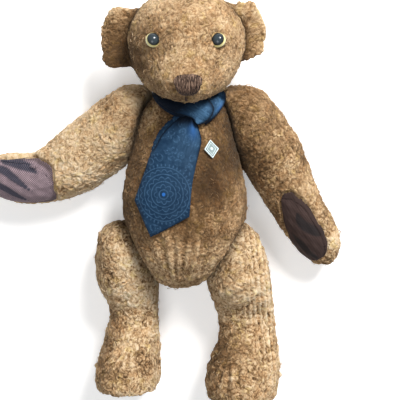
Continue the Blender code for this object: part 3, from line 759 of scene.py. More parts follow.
# %% Claw strokes
# Each stroke is a curve, in shares of the pad's half length to the tip and of its half width
CLAWS = (
    ((0.50, -0.90), (0.15, -0.88), (-0.25, -0.74), (-0.60, -0.52)),
    ((0.82, -0.60), (0.35, -0.60), (-0.05, -0.26), (-0.45, 0.24)),
    ((0.86, -0.10), (0.40, 0.05), (0.05, 0.36), (-0.28, 0.74)),
)
DARK_CLAWS = (
    ((0.40, 0.98), (0.12, 0.82), (-0.17, 0.66), (-0.42, 0.70)),
    ((1.00, 0.45), (0.60, 0.28), (0.30, 0.20), (0.00, 0.12)),
)
CLAW_WIDTH = 4.1 * MM
CLAW_STEPS = 16


def curve_through(places, count):
    """Points on a smooth curve through some places."""
    places = [np.array((*place, 0.0)) for place in places]
    places = [2 * places[0] - places[1], *places, 2 * places[-1] - places[-2]]
    found = []
    for share in np.linspace(0, len(places) - 3 - 1e-9, count):
        index = int(share)
        t = share - index
        a, b, c, d = places[index:index + 4]
        bend = (2 * a - 5 * b + 4 * c - d) * t ** 2 + (3 * b - a - 3 * c + d) * t ** 3
        found.append(0.5 * (2 * b + (c - a) * t + bend))
    return np.array(found)


def painted(flat, half, strokes):
    """How much paint each point of a pad carries: strokes that swell and run out at both ends."""
    paint = np.zeros(len(flat))
    for stroke in strokes:
        line = curve_through([(u * half[0], v * half[1]) for u, v in stroke], CLAW_STEPS)
        for step, place in enumerate(line):
            swell = math.sin(math.pi * (step + 0.6) / CLAW_STEPS) ** 0.7
            near = np.linalg.norm(flat - place, axis=1) / (CLAW_WIDTH * swell)
            paint = np.maximum(paint, smooth_step((1.2 - near) / 0.5))
    return paint


# %% Lay a pad over the arm
PAD_PROBE = 30 * MM
PAD_FOLLOW = 7 * MM


def laid_over(name, body, local, ways, reach, slide, narrow, corners):
    """A pad's points drawn out towards the shoulder and laid over the arm's surface."""
    tree = tree_over([solid(name), solid(f"{body}_skin")])
    middle, long_way, wide_way, out = ways
    height = local @ np.array(out)
    along, across = local @ np.array(long_way), local @ np.array(wide_way)
    half = np.abs(along).max()
    share = smooth_step(-along / half * 0.5 + 0.45)
    square = corners * (across / np.abs(across).max()) ** 2
    further = along - (reach + square) * share
    sideways = across * (1 - narrow * share) + slide * (0.15 + 0.85 * share)

    def surface(u, v, default):
        start = middle + long_way * u + wide_way * v + out * PAD_PROBE
        hit = tree.ray_cast(start, -out, 2 * PAD_PROBE)[0]
        return (hit - middle).dot(out) if hit else default

    found = []
    for u, v, new_u, new_v, w in zip(along, across, further, sideways, height):
        change = surface(new_u, new_v, w) - surface(u, v, w)
        found.append((new_u, new_v, w + max(-PAD_FOLLOW, min(PAD_FOLLOW, change))))
    return np.array(found) @ np.array([long_way, wide_way, out])


# %% Make a pad
PAD_CELL = 1.6 * MM
PAD_SEED = 5
PUCKER_WAVES = (8, 11, 19)
PUCKER = 0.3 * MM
GATHER = 0.35 * MM
GATHER_FOLDS = 4.0
RIM_DROP = 0.5 * MM
PAD_SQUARENESS = 3.0


def make_pad(
    name, body, material, strokes=(), shrink=1.0, sink=0.0, reach=0.0, slide=0.0, narrow=0.0, corners=0.0
):
    """One pad from its solid, with rounded edges, a slight pucker and its flat coordinates."""
    mesh = even_mesh(solid_copy([name]), PAD_CELL, rounds=3, levels=1)
    points, normals = points_of(mesh)
    middle, long_way, wide_way, out = flat_frame(name)
    low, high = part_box(f"{body}_skin")
    outward = middle - (low + high) / 2
    long_way = -long_way if outward.dot(long_way) < 0 else long_way
    out = -out if outward.dot(out) < 0 else out
    wide_way = out.cross(long_way)
    local = points - np.array(middle)
    if reach:
        ways = (middle, long_way, wide_way, out)
        local = laid_over(name, body, local, ways, reach, slide, narrow, corners)
        points = local + np.array(middle)
    flat = np.stack([local @ np.array(long_way), local @ np.array(wide_way), np.zeros(len(points))], 1)
    flat[:, 0] += reach / 2
    half = np.abs(flat).max(0)
    u, v = flat[:, 0] / half[0], flat[:, 1] / half[1]
    rim = smooth_step((np.abs(u) ** PAD_SQUARENESS + np.abs(v) ** PAD_SQUARENESS - 0.72) / 0.26)
    gather = GATHER * np.cos(GATHER_FOLDS * math.pi * v) * smooth_step((-0.35 - u) / 0.4)
    pucker = PUCKER * slow_waves(points, PUCKER_WAVES, np.random.default_rng(PAD_SEED))
    move = (pucker + gather - RIM_DROP * rim) * np.clip(normals @ np.array(out), 0, 1)
    marks = np.stack([painted(flat, half, strokes), rim, 0 * rim, np.ones(len(rim))], 1)
    store(mesh, "flat", "FLOAT_VECTOR", "vector", flat / MM)
    store(mesh, "marks", "FLOAT_COLOR", "color", marks)
    drawn_in = (shrink - 1) * (flat[:, :1] * np.array(long_way) + flat[:, 1:2] * np.array(wide_way))
    place_points(mesh, points + normals * move[:, None] + drawn_in - sink * np.array(out), {})
    pad = keep_mesh(f"{name}_cloth", mesh, body, material)
    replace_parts(pad, name)
    return tree_over([mesh])


# %% Two paw pads and two soles
SOLE_SHRINK = 0.86
SOLE_SINK = 0.5 * MM
PADS = {
    "arm_right": make_pad(
        "arm_right_paw_pad", "arm_right", paw_twill, CLAWS,
        reach=4 * MM, slide=-3 * MM, narrow=-0.2, corners=11 * MM,
    ),
    "arm_left": make_pad(
        "arm_left_paw_pad", "arm_left", dark_shaded_twill, DARK_CLAWS,
        reach=3 * MM, slide=15 * MM, narrow=0.62,
    ),
}
for body in ("leg_left", "leg_right"):
    PADS[body] = make_pad(f"{body}_foot_pad", body, dark_shaded_twill, shrink=SOLE_SHRINK, sink=SOLE_SINK)

# %% [markdown]
# ## Folds, painted light and shade, and the finished bags
# Stuffed cloth creases where the bag bends and gathers where its panels meet. Light and shade are
# painted into the cloth's colour: paler on what faces up, darker on the undersides and by the joints.

# %% Hollows and folds in a bag
def hollow(points, place, radius):
    """How near each point is to a place: 1 there, and fading out past the radius."""
    return np.exp(-np.sum((points - np.array(place)) ** 2, 1) / radius ** 2)


def around(body, points, marks):
    """The sum of some marks; each has shares across and along a body, a reach and an amount."""
    total = np.zeros(len(points))
    for across, along, reach, amount in marks:
        total += amount * hollow(points, spot(body, across, along), reach * MM)
    return total


def crease(body, points, places, width):
    """How near each point is to a line over a body: 1 on it, fading out past the width."""
    near = np.full(len(points), np.inf)
    places = [np.array(spot(body, across, along)) for across, along in places]
    for start, end in zip(places, places[1:]):
        along = end - start
        share = np.clip((points - start) @ along / (along @ along), 0, 1)
        near = np.minimum(near, np.sum((points - start - share[:, None] * along) ** 2, 1))
    return np.exp(-near / (width * MM) ** 2)


def flank(body, side, along):
    """The outermost point of a body on one side, at half its height and a share of its length."""
    x, y, z = share_of(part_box(f"{body}_skin"), 0.5, along, 0.5)
    return FORMS[body].ray_cast(Vector((x + side, y, z)), -side * ACROSS)[0]


def fan(points, root, aim, spread, count, start, end):
    """Folds that run out from a root like a fan, between two distances from it."""
    away = points[:, :2] - np.array(root)[:2]
    run = np.linalg.norm(away, axis=1)
    turn = np.arctan2(away[:, 0], away[:, 1]) - aim
    turn = (turn + math.pi) % (2 * math.pi) - math.pi
    middle, half = (start + end) * MM / 2, (end - start) * MM / 2
    reach = np.exp(-(turn / spread) ** 2 - ((run - middle) / half) ** 2)
    return np.cos(turn * count + 14 * turn ** 2) * reach


# %% Folds of each body
# Places on the outline where a tuft stands out: the side, and the share of the length
TUFTS = {
    "leg_left": ((1, 0.78), (1, 0.52), (1, 0.15), (-1, 0.27)),
    "leg_right": ((-1, 0.93), (-1, 0.16), (1, 0.2)),
    "arm_right": ((-1, 0.3),),
}
# Lumps: shares across and along, then how far each reaches and stands out
LUMPS = {
    "torso": ((0.2, 0.965, 12, 13.0), (0.82, 0.955, 12, 8.0)),
    "arm_left": ((0.10, 0.985, 16, 1.5), (0.03, 0.95, 11, 2.5)),
    "arm_right": ((0.92, 0.985, 16, 2.5), (0.99, 0.95, 11, 3.0)),
    "leg_left": ((0.32, 0.68, 19, 2.0),),
    "leg_right": ((0.5, 0.62, 17, 1.4),),
}
# Ridges and creases: places as shares across and along, then the width and the rise
CREASES = {
    "torso": (((0.86, 0.62), (0.9, 0.35)), 7, 1.0),
    "leg_left": (((0.12, 0.58), (0.3, 0.53), (0.5, 0.55), (0.62, 0.62)), 5.5, -0.8),
    "leg_right": (((0.2, 0.5), (0.5, 0.47), (0.85, 0.5)), 6, -1.0),
}
# Fans of folds: how far each rises, then its aim, spread, folds to a turn, start and end
FANS = {
    "torso": (1.3, 0.0, 0.42, 46.0, 30, 90),
    "leg_left": (1.5, math.pi, 1.1, 15.0, 14, 42),
    "leg_right": (1.6, math.pi, 1.0, 13.0, 12, 40),
}

# %% Raise the folds
RIB_PITCH = 5.2 * MM
RIB_RISE = 1.9 * MM
RIBBED = ((0.68, 0.9), (0.78, 0.62), (0.85, 0.3))
TUFT_SIZE = 2.8 * MM
TUFT_RISE = 2.8 * MM
FAN_HEIGHT = 30 * MM


def fan_roots():
    """Where each fan of folds starts: below the torso, and on each ankle."""
    low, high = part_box("torso_skin")
    below = ((low.x + high.x) / 2 - 5 * MM, low.y - 18 * MM)
    left, right = spot("leg_left", 0.35, 0.33), spot("leg_right", 0.6, 0.36)
    return {"torso": below, "leg_left": left, "leg_right": right}


def body_folds(body, points):
    """The hollows and folds that belong to one body, as a rise for each point."""
    rise = MM * around(body, points, LUMPS.get(body, ()))
    if body == "head":
        for eye in ("eye_left", "eye_right"):
            place = share_of(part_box(eye), 0.5, 0.5, 1.0)
            rise -= 2.0 * MM * hollow(points, place, 13 * MM)
    if body in CREASES:
        places, width, amount = CREASES[body]
        rise += amount * MM * crease(body, points, places, width)
        amount, *shape = FANS[body]
        rise += amount * MM * fan(points, fan_roots()[body], *shape) * (points[:, 2] > FAN_HEIGHT)
    if body == "leg_left":
        ribs = np.cos(2 * math.pi * (points[:, 0] + 0.1 * points[:, 1]) / RIB_PITCH)
        rise += RIB_RISE * crease(body, points, RIBBED, 17) * ribs
    for side, along in TUFTS.get(body, ()):
        rise += TUFT_RISE * hollow(points, flank(body, side, along), TUFT_SIZE)
    return rise


# %% Painted light and shade on the cloth
# Each is a place on a body, as shares of its width and length, then how far it reaches and how much
# painted shade darkens it; below zero, painted light makes it paler there
PAINTED_LIGHT_AND_SHADE = {
    "head": ((0.10, 0.30, 30, 0.65), (0.04, 0.55, 20, 0.4), (0.5, -0.05, 22, 0.45), (0.85, 0.1, 22, 0.35)),
    "arm_left": (
        (0.12, 0.55, 34, 0.4), (0.35, 0.35, 26, 0.15), (0.22, 0.95, 30, 0.38), (0.1, 0.62, 14, 0.25),
        (0.33, 0.62, 14, 0.25), (0.05, 0.97, 14, 0.4), (0.55, 0.6, 16, -0.3), (0.9, 0.15, 26, -0.6),
        (0.8, 0.3, 20, -0.35),
    ),
    "arm_right": ((0.95, 0.35, 30, 0.6), (0.85, 0.85, 24, 0.75), (0.2, 0.45, 16, 0.4)),
    "leg_left": (
        (0.05, 0.75, 26, 0.3), (0.13, 0.27, 28, 0.75), (0.35, 0.3, 34, 0.35), (0.08, 0.43, 18, 0.35),
        (0.4, 0.7, 18, 0.4), (0.1, 0.05, 26, 0.4), (0.8, 0.55, 26, -0.4), (0.75, 0.03, 28, -0.1),
    ),
    "leg_right": (
        (0.13, 0.2, 28, 0.6), (0.25, 0.37, 26, 0.55), (0.12, 0.82, 32, 0.5), (0.88, 0.6, 22, -0.5),
        (0.66, 0.8, 15, -0.35), (0.5, 0.05, 38, 0.1),
    ),
    "torso": (
        (0.58, 0.03, 26, 0.45), (0.05, 0.3, 22, 0.3), (0.95, 0.3, 22, 0.15), (0.69, 0.54, 20, 0.3),
        (0.87, 0.66, 17, 0.4), (0.85, 0.38, 22, -0.35), (0.98, 0.5, 14, -0.5), (0.22, 0.84, 20, -0.5),
    ),
}
print("darker and paler places:", {body: len(marks) for body, marks in PAINTED_LIGHT_AND_SHADE.items()})

# %% Keep a stuffed piece
def inward_signs(body):
    """Which way along each of a body's joints leads into that body."""
    low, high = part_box(f"{body}_skin")
    signs = {}
    for name, joint in JOINTS.items():
        if body in (joint["parent"], joint["child"]):
            toward = ((low + high) / 2 - Vector(joint["pos_m"])).dot(Vector(joint["axis"]))
            signs[name] = math.copysign(1.0, toward)
    return signs


def keep_cloth(name, mesh, body, replaced):
    """Keep a stuffed piece of boucle in place of its solids."""
    cloth = keep_mesh(f"{name}_cloth", mesh, body, boucle)
    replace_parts(cloth, *replaced)


# %% The six bags
PAD_SINK = 2.4 * MM
PAD_EDGE = 3.0 * MM
BODY_LUMPS = 0.8 * MM
LIMB_LUMPS = 1.2 * MM
BAG_SEED = 11
# Each bag's pad, the way its knitting runs, how pale its painted light and shade make it, its nubs' size
# and their contrast
BAGS = {
    "torso": (None, (0.0, 1.0, 0.0), 0.0, 1.0, 1.0),
    "head": (None, (0.3, 1.0, 0.0), 0.72, 0.92, 0.68),
    "arm_left": ("arm_left_paw_pad", (0.56, -0.82, 0.0), 0.42, 1.1, 1.0),
    "arm_right": ("arm_right_paw_pad", (-0.9, -0.45, 0.0), 1.18, 1.15, 0.75),
    "leg_left": ("leg_left_foot_pad", (0.05, 1.0, 0.0), 0.9, 1.2, 1.15),
    "leg_right": ("leg_right_foot_pad", (0.0, 1.0, 0.0), 1.0, 1.15, 1.15),
}
COATS = {}
for order, (body, (pad, way, light_and_tone, coarse, contrast)) in enumerate(BAGS.items()):
    signs = inward_signs(body)
    soft = [f"{body}_skin", f"{body}_stuffing"]
    mesh = bag_mesh(soft + ([pad] if pad else []), signs)
    points = points_of(mesh)[0]
    cover = smooth_step(nearness(points, PADS[body], PAD_EDGE) * 1.6) if pad else np.zeros(len(points))
    if body == "torso":
        low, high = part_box("torso_skin")
        # Painted shade: the chest, shaded by the head and the tie, is darker than the lower belly.
        light_and_tone = 0.85 * smooth_step((0.42 - (points[:, 1] - low.y) / (high.y - low.y)) / 0.36)
    light_and_tone = light_and_tone - around(body, points, PAINTED_LIGHT_AND_SHADE[body])
    lumps = LIMB_LUMPS if pad else BODY_LUMPS
    folds = body_folds(body, points)
    seed = BAG_SEED + order
    points, normals, rise = dress(mesh, body, way, seed, light_and_tone, coarse, contrast, lumps, cover, folds)
    rise = rise * (1 - cover) - PAD_SINK * cover
    place_points(mesh, points + normals * rise[:, None], signs)
    keep_cloth(body, mesh, body, soft)
    COATS[body] = mesh

# %% [markdown]
# ## Ears
# Each ear is two layers of the same cloth, sewn at the rim and cupped forward. Its hollow is painted
# dark for its dirt and its shade, darkest beside the head.

# %% Each ear's shade and shape
# Each ear's outer side; how much painted light makes it paler away from the head, and how soon that
# starts; the places where painted light makes it paler still, and below zero painted shade makes it
# darker, as shares inward and upward, then the reach and how much; and the places where its edge is
# drawn out, as shares inward and upward, then millimetres inward and upward
EARS = {
    "ear_left": (
        1, (1.15, 1.0), ((0.6, 0.8, 14, 0.3),),
        (
            (0.92, 0.95, 7.0, 3.0), (0.83, 0.84, 3.5, -2.5), (0.85, 0.0, 7.0, -4.5),
            (0.08, 0.1, -2.0, -3.0), (0.02, 0.85, 5.0, -1.0),
        ),
    ),
    "ear_right": (
        -1, (0.75, 2.2), ((0.5, 1.0, 13, 0.75), (0.15, 0.2, 17, -0.4)),
        ((0.92, 0.95, 6.0, 4.0), (0.85, 0.0, 7.0, -4.5), (0.2, 0.08, -6.0, -1.0)),
    ),
}


def near_edge(points, ear, inward, along, reach):
    """How near each point is to a place on an ear, seen from the front."""
    low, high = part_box(ear)
    x = (low.x + high.x) / 2 + EARS[ear][0] * (0.5 - inward) * (high.x - low.x)
    place = np.array((x, low.y + along * (high.y - low.y)))
    return np.exp(-np.sum((points[:, :2] - place) ** 2, 1) / reach ** 2)


# %% Both ears
EAR_CELL = 3.0 * MM
EAR_ROOT = 17 * MM
EAR_SHADE = 30 * MM
EAR_PULL_REACH = 9 * MM
EAR_LUMPS = 0.9 * MM
EAR_WAY = (0.2, 1.0, 0.0)
EAR_SEED = 31
for order, (ear, (outer, (most, power), paler, pulls)) in enumerate(EARS.items()):
    mesh = even_mesh(solid_copy([ear]), EAR_CELL, rounds=4, levels=2)
    points = points_of(mesh)[0]
    gaps = np.array([FORMS["head"].find_nearest(point)[3] for point in points])
    light_and_tone = most * smooth_step(gaps / EAR_SHADE) ** power
    for inward, along, reach, amount in paler:
        light_and_tone += amount * near_edge(points, ear, inward, along, reach * MM)
    points, normals, rise = dress(mesh, ear, EAR_WAY, EAR_SEED + order, light_and_tone, 0.9, 0.85, EAR_LUMPS)
    for inward, along, move_in, move_up in pulls:
        near = near_edge(points, ear, inward, along, EAR_PULL_REACH)[:, None]
        points = points + near * np.array((-outer * move_in, move_up, 0.0)) * MM
    points = points + normals * rise[:, None]
    for index, point in enumerate(points):
        hit = FORMS["head"].find_nearest(point, EAR_ROOT)
        if hit[0] is not None:
            points[index] += np.array(hit[0] - Vector(point)) * (1 - hit[3] / EAR_ROOT) ** 0.7
    place_points(mesh, points, {})
    keep_cloth(ear, mesh, "head", [ear])

# %% [markdown]
# ## Eyes
# Glass eyes are painted from behind: a black pupil with a pale yellow ring round it. They sit deep
# in the cloth and look a little inward and up, so the ring shows mostly at the lower outer side.

# %% Glass eyes
EYE_RADIUS = 7.0 * MM
EYE_CAST = 0.24
EYE_LIFT = 0.3
# The colour by the angle from where the eye looks: the pupil, paler blue-grey in its middle as a
# painted reflection, then the ring and a dark edge
EYE_COLOURS = (
    (0.00, (0.028, 0.044, 0.054)),
    (0.38, (0.018, 0.028, 0.034)),
    (0.61, (0.005, 0.008, 0.010)),
    (0.64, (0.12, 0.09, 0.03)),
    (0.67, (0.74, 0.66, 0.26)),
    (0.88, (0.84, 0.79, 0.44)),
    (0.93, (0.25, 0.18, 0.07)),
    (1.00, (0.03, 0.02, 0.01)),
)
EYE_SHADER = {
    "Roughness": 0.3, "Specular IOR Level": 0.0, "Coat Weight": 1.0, "Coat IOR": 1.4,
    "Coat Roughness": 0.03,
}

eye_glass, eye_tree = new_finish("eye_glass", EYE_SHADER)
wire_shader(eye_glass, "Base Color", ramp(attribute(eye_tree, "gaze"), EYE_COLOURS))
for name, outer in (("eye_left", 1.0), ("eye_right", -1.0)):
    low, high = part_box(name)
    edge = high.x if outer > 0 else low.x
    centre = Vector((edge - outer * EYE_RADIUS, (low.y + high.y) / 2, high.z - EYE_RADIUS))
    gaze = (UP + ALONG * EYE_LIFT - ACROSS * outer * EYE_CAST).normalized()
    bm = bmesh.new()
    bmesh.ops.create_icosphere(bm, subdivisions=5, radius=EYE_RADIUS, matrix=Matrix.Translation(centre))
    mesh = new_mesh(f"{name}_glass", bm)
    points = points_of(mesh)[0]
    angle = np.arccos(np.clip((points - np.array(centre)) @ np.array(gaze) / EYE_RADIUS, -1, 1))
    store(mesh, "gaze", "FLOAT", "value", (angle / (math.pi / 2)).clip(0, 1))
    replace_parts(keep_mesh(f"{name}_glass", mesh, "head", eye_glass), name)

# %% [markdown]
# ## Nose and mouth
# The nose is satin stitch: dark threads laid side by side from its top edge to its lower edge, each
# one standing a little round. The mouth is one short stitch of the same thread.

# %% Thread material
NOSE_SHADE = (0.42, 0.36, 0.34, 1.0)
THREAD_COLOURS = (
    (0.37, (0.008, 0.004, 0.003)),
    (0.50, (0.068, 0.039, 0.026)),
    (0.65, (0.270, 0.180, 0.130)),
)
THREAD_SHADER = {"Roughness": 0.6, "Specular IOR Level": 0.2, "Sheen Weight": 0.04}


def make_thread():
    """Dark brown cotton thread in streaks, with painted light and shade: paler at the nose's top, darker
    towards its lower edge.
    """
    material, tree = new_finish("nose_thread", THREAD_SHADER)
    place = object_place(tree)
    streaks = noise(stretched(place, (1.0, 0.22, 0.6)), 1.1 * MM, 3.0, 0.7)
    low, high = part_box("nose_stitching")
    # Painted shade: darker towards the nose's lower edge.
    lower = grade(split(place)[1], high.y - 5 * MM, low.y + 2 * MM, "SMOOTHSTEP")
    colour = mixed(lower * 0.75, ramp(streaks, THREAD_COLOURS), NOSE_SHADE, "MULTIPLY")
    return finished(material, colour, streaks, 0.5, 0.25 * MM)


nose_thread = make_thread()


# %% Threads
def add_tube(bm, places, radius, sides=6):
    """A thread through some places, with closed and narrowed ends."""
    rings = []
    last = len(places) - 1
    for index, place in enumerate(places):
        ahead = (places[min(index + 1, last)] - places[max(index - 1, 0)]).normalized()
        turn = ahead.to_track_quat("Z", "Y").to_matrix().to_4x4()
        size = radius * (0.35 if index in (0, last) else 1.0)
        made = bmesh.ops.create_circle(
            bm, cap_ends=index in (0, last), segments=sides, radius=1.0,
            matrix=Matrix.Translation(place) @ turn @ Matrix.Diagonal((size, size, 1.0, 1.0)),
        )
        rings.append(made["verts"])
    for ring, following in zip(rings, rings[1:]):
        edges = {edge for vertex in ring + following for edge in vertex.link_edges}
        ends = [
            edge for edge in edges
            if all(v in ring for v in edge.verts) or all(v in following for v in edge.verts)
        ]
        bmesh.ops.bridge_loops(bm, edges=ends)


# %% Stitches
STITCH_STEPS = 7
STITCH_PROBES = 90
STITCH_REACH = 20 * MM
STITCH_SWELL = 0.35 * MM
STITCH_SINK = 0.15 * MM
STITCH_JITTER = 0.12 * MM
STITCH_SEED = 3


def stitch_patch(name, threads, radius, slack):
    """Cover a flat solid with threads from its upper to its lower edge."""
    middle, _, _, out = flat_frame(name)
    if out.z < 0:
        out = -out
    upward = (ALONG - out * ALONG.dot(out)).normalized()
    sideways = upward.cross(out)
    tree = tree_over([solid(name)])
    points = [vertex.co - middle for vertex in solid(name).vertices]
    half_width, half_height = (max(abs(point.dot(way)) for point in points) for way in (sideways, upward))
    random = np.random.default_rng(STITCH_SEED)
    bm = bmesh.new()
    for index in range(threads):
        across = half_width * (-1 + 2 * (index + 0.5) / threads)
        hits = []
        for step in np.linspace(-1.1, 1.1, STITCH_PROBES):
            start = middle + sideways * across + upward * half_height * step + out * STITCH_REACH
            hit = tree.ray_cast(start, -out, 2 * STITCH_REACH)[0]
            if hit:
                hits.append(hit)
        if len(hits) < 4:
            continue
        lean = (random.random() - 0.5) * slack
        places = []
        for share in np.linspace(0, 1, STITCH_STEPS):
            lift = math.sin(share * math.pi) * STITCH_SWELL - STITCH_SINK + random.random() * STITCH_JITTER
            overrun = upward * (share - 0.5) * slack
            place = hits[int(share * (len(hits) - 1))]
            places.append(place + out * lift + sideways * lean * share + overrun)
        add_tube(bm, places, radius)
    bmesh.ops.recalc_face_normals(bm, faces=bm.faces)
    return bm


# %% Nose and mouth
# Each stitched piece: its solid, its threads, their radius and their slack
STITCHED = {
    "nose_threads": ("nose_stitching", 19, 0.78 * MM, 0.8 * MM),
    "mouth_threads": ("mouth_stitch", 2, 0.7 * MM, 0.3 * MM),
}
for name, (node, threads, radius, slack) in STITCHED.items():
    bm = stitch_patch(node, threads, radius, slack)
    if node == "nose_stitching":
        backing = new_mesh("backing", solid_copy([node]))
        bm.from_mesh(backing)
        bpy.data.meshes.remove(backing)
    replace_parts(keep_mesh(name, new_mesh(name, bm), "head", nose_thread), node)

# %% [markdown]
# ## Necktie
# The tie is a flattened tube of patterned silk. A band, in painted shadow, comes from under the chin,
# a broad fold of it wraps over the knot and turns down, a second loop shows behind that, and the
# blade hangs out below. Each is a strip of silk between two edges, laid over what is under it, with
# painted shadow, painted highlight and painted sheen in its colour.

# %% Medallion
# The medallion, in millimetres on the blade: its middle's height, its plain rings, its rings of
# petals with their count and reach, and the rim of ticks
RING_CENTRE = -74.0
PLAIN_RINGS = (4.2, 11.6, 18.2, 24.6)
PETAL_RINGS = ((8, 2.6, 6.4), (14, 2.4, 13.4), (22, 2.2, 20.2))
TICK_RING = 26.6
TICKS = 44.0
MEDALLION_EDGE = (28.0, 30.0)


def thin_line(value, middle, half_width):
    """1 where a value is the middle one, and 0 past the half width."""
    return grade(maths("ABSOLUTE", value - middle), half_width, half_width * 0.35, "SMOOTHSTEP")


def medallion(radius, angle):
    """Plain rings, rings of petals and a rim of ticks, as values from 0 to 1."""
    lines = [thin_line(radius, ring, 0.6) for ring in PLAIN_RINGS]
    for count, reach, ring in PETAL_RINGS:
        petals = maths("ABSOLUTE", maths("SINE", angle * (count / 2))) * reach
        lines.append(thin_line(radius - petals, ring, 0.65))
    ticks = grade(maths("SINE", angle * TICKS), 0.2, 0.8)
    return [*lines, ticks * thin_line(radius, TICK_RING, 1.5)]


# %% Small curls
CURL_CELL = 9.0


def small_curls(tree, flat):
    """Dots with rings round them, broken by gaps, as a value from 0 to 1."""
    inputs = {"Vector": flat, "Scale": 1 / CURL_CELL, "Randomness": 0.65}
    cells = add_node(tree, "ShaderNodeTexVoronoi", inputs, voronoi_dimensions="2D")
    apart = Wire(cells.outputs["Distance"]) * CURL_CELL
    curl = maths("MAXIMUM", thin_line(apart, 3.0, 0.7), grade(apart, 1.1, 0.6))
    curl = maths("MAXIMUM", curl, thin_line(apart, 1.9, 0.5) * 0.6)
    return curl * grade(noise(flat, 3.4, 1.0), 0.42, 0.56)


# %% Silk material
SILK_PITCH = 1.1
SILK_NAVY = (0.006, 0.022, 0.052, 1.0)
SILK_STEEL = (0.070, 0.155, 0.275, 1.0)
SILK_PAINTED_HIGHLIGHT = (0.090, 0.210, 0.370, 1.0)
SILK_BRIGHT_DOT_AND_SHEEN = (0.025, 0.140, 0.480, 1.0)
SILK_SHADOW = (0.003, 0.005, 0.010, 1.0)
SILK_SHADER = {"Roughness": 0.6, "Specular IOR Level": 0.04, "Sheen Weight": 0.02}


def make_silk():
    """Navy jacquard silk with steel-blue rings, ticks, dots and small curls, and painted shadow, highlight
    and sheen in its colour.
    """
    material, tree = new_finish("tie_silk", SILK_SHADER)
    flat = attribute(tree, "flat", "Vector")
    u, v, _ = split(flat)
    down = v - RING_CENTRE
    radius = maths("SQRT", u * u + down * down)
    pattern = small_curls(tree, flat) * grade(radius, *MEDALLION_EDGE)
    for line in medallion(radius, maths("ARCTAN2", down, u)):
        pattern = maths("MAXIMUM", pattern, line)
    thread_gaps = grade(noise(flat, 0.75, 1.0), 0.36, 0.56)
    worn = noise(flat, 2.6, 2.0) * 1.7
    pattern = pattern * clamped(worn * (thread_gaps * 0.75 + 0.25))
    slant = wave(u + v, SILK_PITCH)
    ground = noise(flat, 6.0, 3.0, 0.6) * 0.45 + slant * 0.05
    colour = mixed(clamped(pattern * 0.62 + ground - 0.12), SILK_NAVY, SILK_STEEL)
    # Painted sheen: brighter blue where the silk would shine.
    colour = mixed(attribute(tree, "painted_sheen") * 0.55, colour, SILK_BRIGHT_DOT_AND_SHEEN)
    streaks = grade(noise(stretched(flat, (1.0, 0.16, 1.0)), 1.3, 3.0, 0.6), 0.3, 0.7)
    # Painted highlight along the strips' crests.
    colour = mixed(attribute(tree, "painted_highlight") * (streaks * 0.8 + 0.2), colour, SILK_PAINTED_HIGHLIGHT)
    # Painted shadow under the chin and the knot, and along shaded edges.
    colour = mixed(attribute(tree, "painted_shadow"), colour, SILK_SHADOW)
    colour = mixed(grade(radius, 1.9, 1.3) * 0.8, colour, SILK_BRIGHT_DOT_AND_SHEEN)
    return finished(material, colour, slant * 0.15 + pattern, 0.25, 0.25 * MM)


tie_silk = make_silk()

# %% The edges of a strip
SILK_STEP = 1.0 * MM
STRIP_ROWS, STRIP_COLUMNS = 6, 5
tie_corner = np.array(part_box("necktie")[0])[:2]


def even_curve(places, count, sharp_last):
    """A smooth curve through some places, sampled evenly; its last leg may be straight."""
    bend = places[:-1] if sharp_last else places
    curve = curve_through(bend, 12 * len(bend))
    if sharp_last:
        curve = np.vstack([curve, np.linspace(curve[-1], (*places[-1], 0.0), 14)[1:]])
    run = np.concatenate([[0], np.cumsum(np.linalg.norm(np.diff(curve, axis=0), axis=1))])
    even = np.linspace(0, run[-1], count)
    return np.stack([np.interp(even, run, curve[:, axis]) for axis in range(2)], 1)


def strip_places(left, right, sharp_last):
    """A grid of places between two edges, and how long and how wide the strip is."""
    longest = max(sum(math.dist(a, b) for a, b in zip(edge, edge[1:])) for edge in (left, right)) * MM
    widest = max(math.dist(a, b) for a, b in zip(left, right)) * MM
    rows = max(STRIP_ROWS, int(longest / SILK_STEP)) + 1
    start, end = (even_curve(edge, rows, sharp_last) * MM + tie_corner for edge in (left, right))
    share = np.linspace(0, 1, max(STRIP_COLUMNS, int(widest / SILK_STEP)) + 1)[None, :, None]
    return start[:, None, :] * (1 - share) + end[:, None, :] * share, longest, widest


# %% What lies under a strip
SILK_ROUNDS = 24
GROUND = tree_over([COATS["torso"], solid("necktie")])


def laid_height(places):
    """The height of the cloth under each place, smoothed as silk would lie over it."""
    height = np.array([[above(GROUND, x, y, np.nan) for x, y in row] for row in places])
    height = np.where(np.isnan(height), np.nanmedian(height), height)
    for _ in range(SILK_ROUNDS):
        wide = np.pad(height, 1, mode="edge")
        height = (wide[:-2, 1:-1] + wide[2:, 1:-1] + wide[1:-1, :-2] + wide[1:-1, 2:] + 2 * height) / 6
    return height


# %% Strips of silk
SILK_THICK = 1.1 * MM
SMALLEST_CUT = 10.5 * MM
EDGE_DROP = 1.1 * MM


